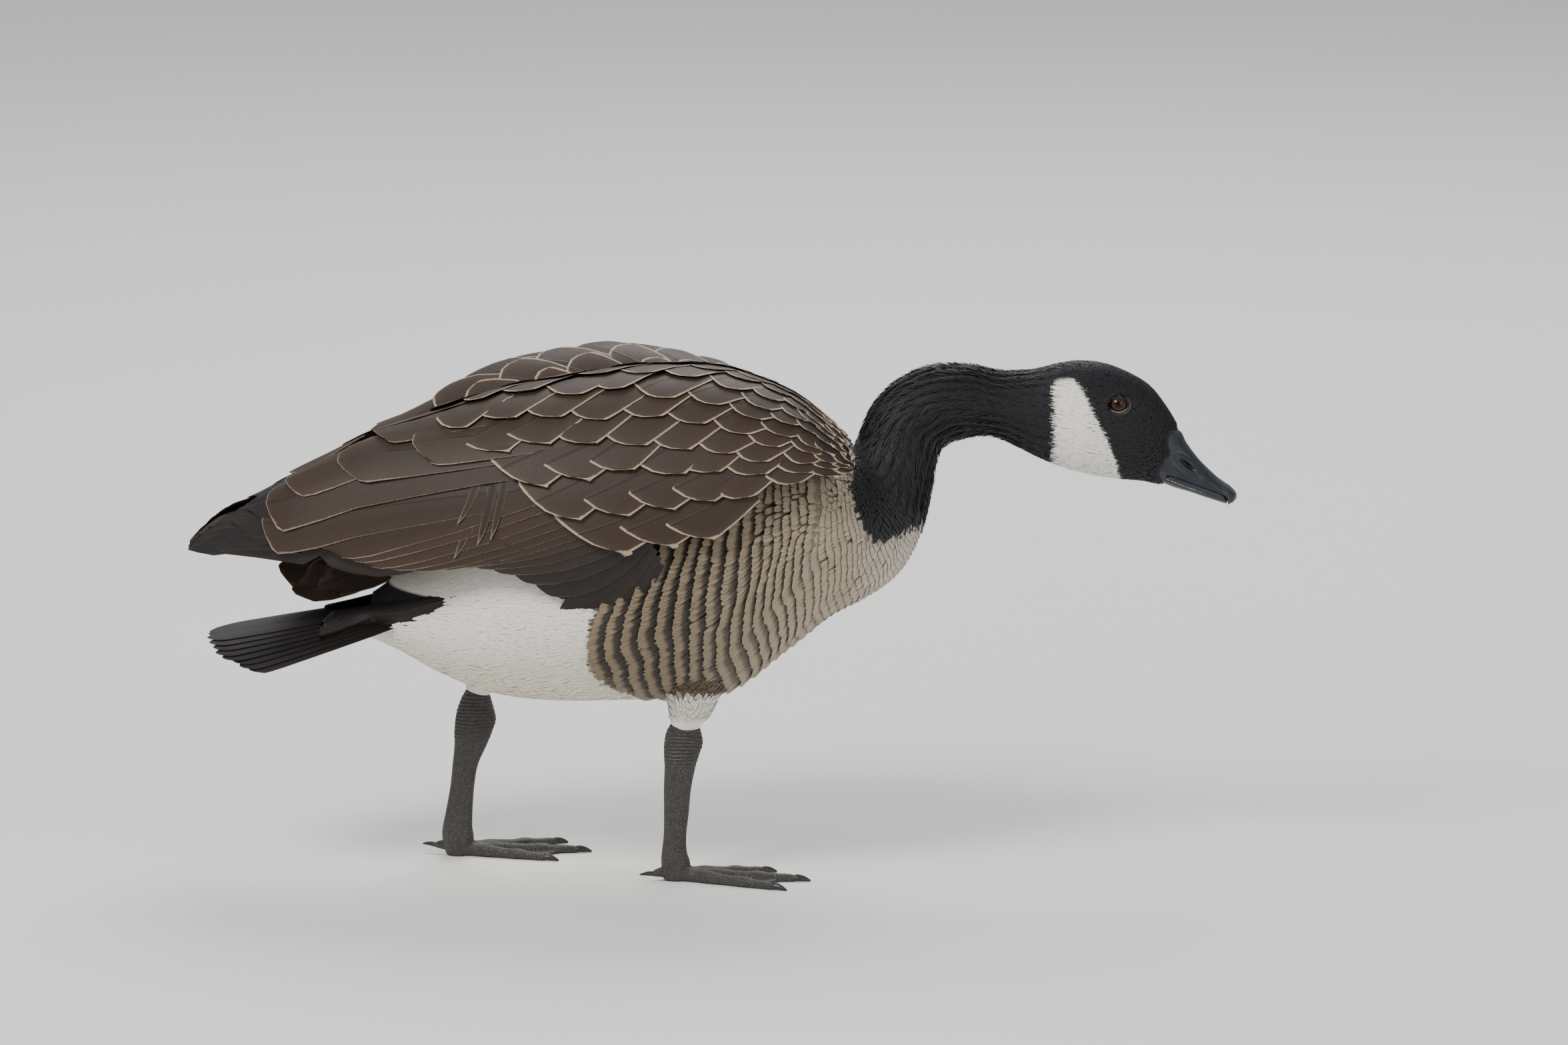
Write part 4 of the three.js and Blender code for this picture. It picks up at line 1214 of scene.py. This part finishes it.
lid_skin = finish_of("eyelid_skin", lid_paint, Roughness=0.5)
for side_name, side in SIDES.items():
    centre = np.array([EYE_CENTRE.x, side * EYE_CENTRE.y, EYE_CENTRE.z])
    axis = np.array([EYE_AXIS.x, side * EYE_AXIS.y, EYE_AXIS.z])
    ahead = unit(np.cross(axis, [0, 0, 1]))
    ahead *= np.sign(ahead[0])
    upward = unit(np.cross(ahead, axis))
    upward *= np.sign(upward[2])
    polar = np.linspace(0.001, math.pi * 0.62, 30)
    around = np.arange(LID_SIDES) * 2 * math.pi / LID_SIDES
    ring = np.cos(around)[:, None] * ahead + np.sin(around)[:, None] * upward
    bulge = EYE_RADIUS + CLEAR_BULGE * np.exp(-((polar / 0.55) ** 2))
    balls = centre + bulge[:, None, None] * (
        np.cos(polar)[:, None, None] * axis + np.sin(polar)[:, None, None] * ring[None]
    )
    ball = closed_mesh("eye_ball_" + side_name, [tube(balls)])
    ball.data.materials.append(finish_of("eye_" + side_name + "_surface", eye_paint(side), **WET))
    settle(ball, "eye", "eye_" + side_name)

    opening = np.stack([np.cos(around) * EYE_OPENING[0], np.sin(around) * EYE_OPENING[1]], -1)
    face_turns = side * np.radians(np.linspace(15, 120, 90))
    near = body.at(*np.meshgrid(np.linspace(26, 30, 60), face_turns, indexing="ij")).reshape(-1, 3)
    heights, planes = [], []
    for step, away, swell in LID:
        flat = opening * (1 + step / np.linalg.norm(opening, axis=-1, keepdims=True))
        span = np.linalg.norm(flat, axis=-1)
        over_eye = np.sqrt(np.maximum(EYE_RADIUS**2 - span**2, 1.5))
        plane = centre + flat[:, :1] * ahead + flat[:, 1:] * upward
        close = np.argmin(np.hypot(near[None, :, 0] - plane[:, :1], near[None, :, 2] - plane[:, 2:]), axis=1)
        over_skin = np.abs(near[close, 1]) - np.abs(plane[:, 1])
        planes.append(plane)
        heights.append(over_eye * (1 - away) + over_skin * away + swell)
    front = np.stack(planes) + np.stack(heights)[..., None] * axis
    front = (front + np.roll(front, 1, axis=1) + np.roll(front, -1, axis=1)) / 3
    steps_out = np.array([step for step, *_ in LID])
    back = front - axis * (1.2 + steps_out[:, None, None] * 0.6)
    loop = np.concatenate([front, back[::-1]]).transpose(1, 0, 2)
    corner = np.arange(LID_SIDES * loop.shape[1]).reshape(LID_SIDES, -1)
    beside, beyond = np.roll(corner, -1, axis=1), np.roll(corner, -1, axis=0)
    faces = np.stack([corner, beside, np.roll(beyond, -1, axis=1), beyond], -1).reshape(-1, 4).tolist()
    lid = closed_mesh("eyelids_" + side_name, [(loop.reshape(-1, 3), faces)])
    rim = np.concatenate([np.interp(steps_out, [0, 0.7, 1.3], [1, 1, 0]), np.zeros(len(steps_out))])
    marked(lid.data, "rim", np.tile(rim, LID_SIDES))
    lid.data.materials.append(lid_skin)
    settle(lid, "plumage_black")


# The bill: two horny halves, black with a blue-grey sheen. The upper one has a slit nostril with
# a raised rim and a hard nail at its tip, and the lower one closes up into it.
BILL_UPPER = [
    [296, 298, 284, 268, 16.4, 0.62],
    [303, 295.5, 292.5, 266.8, 14.9, 0.68],
    [308.9, 292.3, 300.4, 264.4, 12.4, 0.8],
    [312.7, 285, 308, 261.5, 11.5, 0.8],
    [320.5, 274.6, 316.8, 258.4, 11, 0.8],
    [328.3, 266.6, 325.6, 255.3, 10.6, 0.78],
    [336.2, 259.5, 333.5, 252.4, 10.3, 0.72],
    [341, 256.2, 338.4, 250.2, 9.3, 0.65],
    [344.8, 252, 340, 246.6, 7.6, 0.55],
    [345.4, 248.6, 340.2, 244.4, 5, 0.5],
]
BILL_LOWER = [
    [290, 268.5, 288, 261.5, 6, 0.5],
    [299.2, 266.8, 297.2, 258.8, 8, 0.5],
    [307.4, 264.4, 304.9, 255.8, 9.8, 0.5],
    [316.3, 261.3, 314.7, 252.9, 9.9, 0.5],
    [325.6, 257.8, 324.2, 249.6, 9.4, 0.5],
    [333.4, 254.6, 332.2, 247, 8.6, 0.5],
    [338.4, 251.4, 337, 245.4, 6.6, 0.5],
    [340.4, 249, 339.2, 244.8, 3, 0.5],
]
NOSTRIL = (313, 272.5)
NOSTRIL_SLOPE = math.radians(-41)


def bill_ring(values, turn, place):
    """A ring with upright lower sides, which make the bill's cutting edge."""
    points = spanned(values, turn, 0.0)
    sides = np.abs(np.sin(turn)) ** 0.35 / np.maximum(np.abs(np.sin(turn)), 1e-6)
    points[..., 1] *= np.where(np.cos(turn) < 0, np.minimum(sides, 30), 1) * (1 - 0.06 * (np.cos(turn) < 0))
    return points


def jaw_ring(values, turn, place):
    """A ring with upright upper sides, which close against the upper half."""
    points = spanned(values, turn, 0.0)
    sides = np.abs(np.sin(turn)) ** 0.4 / np.maximum(np.abs(np.sin(turn)), 1e-6)
    points[..., 1] *= np.where(np.cos(turn) > -0.3, np.minimum(sides, 30), 1)
    return points


def shaped_bill(name, rows, shape, ring, rings, sides):
    """Half of the bill, with its skin raised or sunk by what shape() says, in millimetres."""
    loft = Loft(rows, ring)
    place, turn = ring_grid(0, len(rows) - 1, rings, sides)
    points = loft.at(place, turn)
    out = loft.frame(place, turn)[2]
    return closed_mesh(name, [tube(points + out * shape(points, place, turn)[..., None])])


def by_nostril(x, z):
    """How far a point lies along the nostril's slit and across it, from its middle."""
    ahead, above = x - NOSTRIL[0], z - NOSTRIL[1]
    cosine, sine = math.cos(NOSTRIL_SLOPE), math.sin(NOSTRIL_SLOPE)
    return ahead * cosine + above * sine, above * cosine - ahead * sine


def upper_shape(points, place, turn):
    x, y, z = np.moveaxis(points, -1, 0)
    along, across = by_nostril(x, z)
    oval = np.hypot(along / 6.0, across / 1.7)
    on_side = np.abs(y) > 2.5
    pit = -2.8 * np.clip(1.15 - oval, 0, 1) ** 0.6 * on_side
    rim = 0.45 * np.exp(-(((oval - 1.45) / 0.28) ** 2)) * on_side
    trough = -0.5 * np.exp(-(((oval - 2.3) / 0.7) ** 2)) * on_side
    nail = 0.4 * np.clip((x - 333.5) / 2.6, 0, 1) * np.clip((7.4 - np.abs(y)) / 2, 0, 1)
    nail = nail * (np.cos(turn) > -0.2)
    ridge = 0.35 * np.exp(-((y / 2.4) ** 2)) * (np.cos(turn) > 0)
    return pit + rim + trough + nail + ridge


def lower_shape(points, place, turn):
    grooves = np.exp(-(((np.cos(turn) - 0.05) / 0.08) ** 2)) + np.exp(-(((np.cos(turn) + 0.4) / 0.08) ** 2))
    return -0.3 * grooves * np.clip(place - 1.5, 0, 1) * np.clip(5.5 - place, 0, 1)


def bill_paint(shade):
    where = shade.here()
    x, _, z = where.millimetres()
    grain = where.times((0.4, 1, 1)).noise(700, 4)
    spots = where.noise(120, 2)
    colour = spots.mix((0.006, 0.0075, 0.01), (0.02, 0.026, 0.035))
    along, across = by_nostril(x, z)
    hole = along * along / 33 + across * across / 2.4
    nail = (x - 335).rise(0, 1.5)
    colour = (nail * 0.35).mix(colour, (0.04, 0.042, 0.044))
    # Painted shade: the nostril's slit is made near-black, for the dark inside of its opening.
    colour = hole.rise(1.1, 0.7).mix(colour, (0.001, 0.001, 0.001))
    scratches = where.times((0.15, 1, 1)).noise(1600, 2)
    height = grain * 0.6 + scratches * 0.4
    rough = 0.3 + grain * 0.2 - nail * 0.06
    return {"Base Color": colour, "Normal": height.bump(0.35, 0.0003), "Roughness": rough}


def jaw_paint(shade):
    """Dark horn with two thin worn lines along its rear half."""
    where = shade.here()
    grain = where.noise(700, 3)
    x, _, z = where.millimetres()
    drop = z - 259.6 + (x - 307) * 0.37
    lines = drop.abs().rise(0.55, 0.15).most((drop + 2.4).abs().rise(0.5, 0.15) * 0.7)
    lines = lines * (x - 327).rise(0, -8) * grain.rise(0.35, 0.6)
    colour = grain.mix((0.007, 0.008, 0.01), (0.02, 0.023, 0.028))
    colour = (lines * 0.55).mix(colour, (0.3, 0.29, 0.27))
    return {"Base Color": colour, "Normal": grain.bump(0.35, 0.0003), "Roughness": 0.32 + grain * 0.15}


upper = shaped_bill("bill_upper_half", BILL_UPPER, upper_shape, bill_ring, 200, 112)
bill_horn = finish_of("bill_horn", bill_paint, Specular_IOR_Level=0.3, Coat_Weight=0.12, Coat_Roughness=0.25)
upper.data.materials.append(bill_horn)
settle(upper, "bill", "bill_upper")
lower = shaped_bill("bill_lower_half", BILL_LOWER, lower_shape, jaw_ring, 150, 64)
lower.data.materials.append(finish_of("bill_jaw_horn", jaw_paint))
settle(lower, "bill", "bill_lower")


# The thighs' short soft feathers run down to the hocks. They get shorter and closer on the way,
# and are rooted a little under the thighs' outline.
TUFT_DEPTH = 1.2
for side_name, rows in THIGHS.items():
    piece = tract(
        "thigh_feathers_" + side_name, limb(rows, TUFT_DEPTH), 0.7, 4.35, {0: 3.2, 4: 2.0},
        {0: 2.5, 4: 1.8}, {0: 14, 4: 8}, {0: 2.2, 4: 1.5}, 52, lift=(0.1, 2.4), thick=0.4, arch=0.2,
        ripple=0.15,
    )
    coated(piece, "plumage_white")


# Legs and feet of dark grey scaly skin: wrinkled at the hock, with three webbed toes and a small
# raised hind toe. Each leg is one skin drawn over its bones and web, and the claws are horn.
RIGHT_SHANK = [
    [-17.6, -42.6, 108, 7.5, 6.5],
    [-18.5, -42.5, 100, 11.3, 8.6],
    [-18.6, -42, 92.5, 12.8, 8.8],
    [-19.8, -42, 85, 11.9, 8],
    [-20.9, -42, 76.5, 10.4, 6.8],
    [-22.7, -42, 61, 9.1, 5.8],
    [-23.4, -42, 45, 8.3, 5.4],
    [-24.4, -42, 30, 7.6, 5.6],
    [-24.8, -42, 19, 8.4, 6.8],
    [-24, -42, 12.4, 9.6, 8.4],
    [-23.6, -42, 5, 9.2, 8.2],
    [-23.6, -42, 0.4, 8, 7.4],
]
LEFT_SHANK = [
    [-156, 42.2, 114, 6.5, 6],
    [-157, 42, 107, 9.6, 8],
    [-157.4, 42, 99, 12.2, 8.8],
    [-157.5, 42, 91.5, 13.6, 8.8],
    [-159.2, 42, 83, 12.6, 8],
    [-161, 42, 74, 10.8, 6.8],
    [-164.5, 42, 61, 8.6, 5.8],
    [-166.6, 42, 46, 8.1, 5.4],
    [-168.6, 42, 30, 9, 5.8],
    [-169.8, 42, 19, 10, 7],
    [-169.5, 42, 12.4, 10.6, 8.4],
    [-169.2, 42, 5, 9.4, 8.2],
    [-169.2, 42, 0.4, 8.2, 7.4],
]
HOCK = (72, 112)  # its lower and upper ends
# Each toe's angle out from the foot's heading, its length and half its width.
TOES = {"inner": (24, 62, 4.6), "middle": (0, 80, 5.2), "outer": (-23, 73, 4.8), "hind": (0, 17, 3)}
HIND_TURN, HIND_RISE, HIND_LIFT = 28, 9, 1
WEB_THICKNESS = 2.2


def toe_ring(values, turn, place):
    """Flat below and rounded above."""
    x, height, half_width = np.moveaxis(values, -1, 0)
    up = np.cos(turn)
    lifted = np.where(up > 0, 0.5 + 0.5 * up, 0.5 + 0.5 * np.sign(up) * np.abs(up) ** 0.6)
    return np.stack([x + 0 * turn, np.sin(turn) * half_width, lifted * height], -1)


def toe(length, half_width):
    joints = (
        (-7, 8.2, 1.1), (4, 9.4, 1.08), (length * 0.22, 8.2, 0.82), (length * 0.33, 8.4, 1.02),
        (length * 0.45, 7.4, 0.84), (length * 0.58, 6.6, 0.78), (length * 0.68, 7, 0.94),
        (length * 0.8, 5.6, 0.7), (length * 0.93, 5.2, 0.62), (length + 0.4, 4.2, 0.44),
    )
    if length < 30:
        middle, near_end = (length * 0.6, 7, 0.9), (length * 0.85, 5.6, 0.74)
        joints = ((-6, 7.5, 1.2), (6, 8, 1.05), middle, near_end, (length, 4, 0.5))
    return Loft([[x, height, half_width * share] for x, height, share in joints], toe_ring, -1, 1)


def claw_ring(values, turn, place):
    x, top, bottom, half_width = np.moveaxis(values, -1, 0)
    up = np.cos(turn)
    y = np.sin(turn) * half_width * (1 - 0.3 * np.maximum(up, 0))
    return np.stack([x + 0 * turn, y, (top + bottom) / 2 + up * (top - bottom) / 2], -1)


def turned(points, degrees):
    c, s = math.cos(math.radians(degrees)), math.sin(math.radians(degrees))
    x, y, z = np.moveaxis(points, -1, 0)
    return np.stack([x * c - y * s, x * s + y * c, z], -1)


def raised(points, degrees):
    c, s = math.cos(math.radians(degrees)), math.sin(math.radians(degrees))
    x, y, z = np.moveaxis(points, -1, 0)
    return np.stack([x * c - z * s, y, x * s + z * c + HIND_LIFT], -1)


def web(side):
    """The web's outline from above: straight outer margins and a hollow front between toes."""
    tips = []
    for name in ("inner", "middle", "outer"):
        angle, length, _ = TOES[name]
        bearing = math.radians(-side * angle)
        tips.append(np.array([math.cos(bearing), math.sin(bearing)]) * length * 0.93)
    outline = [np.array([2.0, 0.0])]
    for a, b in ((tips[0], tips[1]), (tips[1], tips[2])):
        hollow = (a + b) / 2 * 0.84
        for t in np.linspace(0, 1, 16):
            outline.append(a * (1 - t) ** 2 + 2 * hollow * t * (1 - t) + b * t * t)
    flat = np.array(outline)
    top = np.column_stack([flat, np.full(len(flat), WEB_THICKNESS)])
    points = np.stack([top * [1, 1, 0] + [0, 0, 0.2], top])
    return tube(points)


def scale_paint(shade):
    """Dark grey skin in small net-like scales, worn paler on their middles."""
    where = shade.here()
    _, _, z = where.millimetres()
    wander = where.noise(260, 2, 1).times((0.0012,) * 3)
    warped = shade.node("VectorMath", {"operation": "ADD"}, {0: where, 1: wander})
    cells = {"Vector": warped.times((1, 1, 0.85)), "Scale": 820.0}
    gap = shade.node("TexVoronoi", {"feature": "DISTANCE_TO_EDGE"}, cells)
    tint = shade.node("TexVoronoi", {"feature": "F1"}, cells, output=1)
    patchy = where.noise(60, 2)
    scale = gap.rise(0.0, 0.16)
    base = patchy.mix((0.03, 0.026, 0.023), (0.07, 0.06, 0.052))
    base = (tint.parts()[0] * 0.35).mix(base, (0.11, 0.1, 0.09))
    colour = scale.mix((0.016, 0.014, 0.0125), base)
    wrinkle = shade.math("SINE", z * 2.6 + where.noise(90, 2) * 5)
    hock = (z - 74).rise(0, 10)
    height = scale * (0.7 - hock * 0.4) + wrinkle * hock * 1.1
    rough = 0.42 + patchy * 0.2
    return {"Base Color": colour, "Normal": height.bump(0.7, 0.0007), "Roughness": rough}


def claw_paint(shade):
    where = shade.here()
    grain = where.times((0.3, 1, 1)).noise(900, 3)
    colour = grain.mix((0.009, 0.008, 0.008), (0.03, 0.026, 0.023))
    return {"Base Color": colour, "Roughness": 0.3 + grain * 0.2}


scaly_skin = finish_of("scaly_leg_skin", scale_paint)
claw_horn = finish_of("claw_horn", claw_paint)
# x ahead of the toe's end, top, bottom, share of the claw's half width.
CLAW = [
    [-1.6, 4.4, 0.6, 0.9],
    [0, 5, 0.4, 1],
    [3, 4.6, 0.3, 0.85],
    [6, 3.3, 0.2, 0.55],
    [8.6, 1.6, 0.1, 0.24],
    [9, 1.2, 0.3, 0.08],
]
for side_name, shank, heel, heading in (
    ("right", RIGHT_SHANK, (-24, -42, 0), -4), ("left", LEFT_SHANK, (-169.5, 42, 0), 5),
):
    side = SIDES[side_name]

    def placed(points, angle):
        return turned(points, heading - side * angle) + heel

    leg = limb(shank)
    place, turn = ring_grid(0, len(shank) - 1, 120, 40)
    skin_points = leg.at(place, turn)
    height = skin_points[..., 2:]
    hock = np.clip((height - HOCK[0]) / 10, 0, 1) * np.clip((HOCK[1] - height) / 6, 0, 1)
    folds = np.sin(height * 2.1 + 1.2 * np.sin(turn * 2)[..., None])
    skin_points = skin_points + leg.frame(place, turn)[2] * folds * hock * 0.45
    shapes = [tube(skin_points)]
    web_points, web_faces = web(side)
    shapes.append((placed(web_points, 0), web_faces))
    for name, (angle, length, half_width) in TOES.items():
        loft = toe(length, half_width)
        points, faces = tube_of(loft, 0, len(loft.rows) - 1, 60, 28)
        claw = [[length + 0.3 + x, top, low, half_width * 0.5 * half] for x, top, low, half in CLAW]
        tip = Loft(claw, claw_ring)
        claw_points, claw_faces = tube_of(tip, 0, len(CLAW) - 1, 30, 20)
        if name == "hind":
            backwards = 180 - side * HIND_TURN
            points = turned(raised(points, HIND_RISE), backwards)
            claw_points = turned(raised(claw_points * [1, 1, 0.7], HIND_RISE), backwards)
        shapes.append((placed(points, angle), faces))
        claw = closed_mesh("claw_horn_" + side_name + "_" + name, [(placed(claw_points, angle), claw_faces)])
        claw.data.materials.append(claw_horn)
        settle(claw, "leg_skin", "claw_" + side_name + "_" + name)
    whole = closed_mesh("leg_skin_" + side_name, shapes)
    applied(whole, "REMESH", mode="VOXEL", voxel_size=0.0009)
    applied(whole, "SMOOTH", factor=0.5, iterations=4)
    whole.data.shade_smooth()
    whole.data.materials.clear()
    whole.data.materials.append(scaly_skin)
    settle(whole, "leg_skin", "shank_" + side_name, "foot_" + side_name)


# A plain pale floor, which the bird stands on, and three soft studio lamps with a pale world
# round them. The key lamp stands high behind the bird, on its right.
def floor_paint(shade):
    tint = shade.here().noise(3, 1).mix((0.79, 0.78, 0.76), (0.81, 0.8, 0.78))
    return {"Base Color": tint}


FLOOR_REACH = 3e4
FLOOR_LEVELS = (-20, -0.01)
plan = np.array([(-1, -1), (1, -1), (1, 1), (-1, 1)]) * FLOOR_REACH
slab = np.stack([np.column_stack([plan, np.full(4, level)]) for level in FLOOR_LEVELS])
floor = closed_mesh("floor", [tube(slab)])
floor.data.shade_flat()
floor.data.materials.append(finish_of("pale_floor", floor_paint, Roughness=0.9))

LIGHT_AIM = Vector((0, 0, 0.2))
# Each lamp's name, place, size and power.
LIGHTS = [
    ("key", (-1.9, -2.4, 3.2), 1.6, 150),
    ("fill", (2.8, -2.6, 1.4), 2.4, 40),
    ("rim", (0.4, 2.4, 3.0), 2.0, 90),
]
for title, place, size, power in LIGHTS:
    lamp = bpy.data.lights.new(title, "AREA")
    lamp.size = size
    lamp.energy = power
    light = in_scene(title, lamp)
    light.location = place
    light.rotation_euler = (LIGHT_AIM - light.location).to_track_quat("-Z", "Y").to_euler()
world = bpy.data.worlds.new("studio")
bpy.context.scene.world = world
world.use_nodes = True
sky = world.node_tree.nodes["Background"].inputs
sky["Color"].default_value = (0.75, 0.78, 0.82, 1)
sky["Strength"].default_value = 0.6
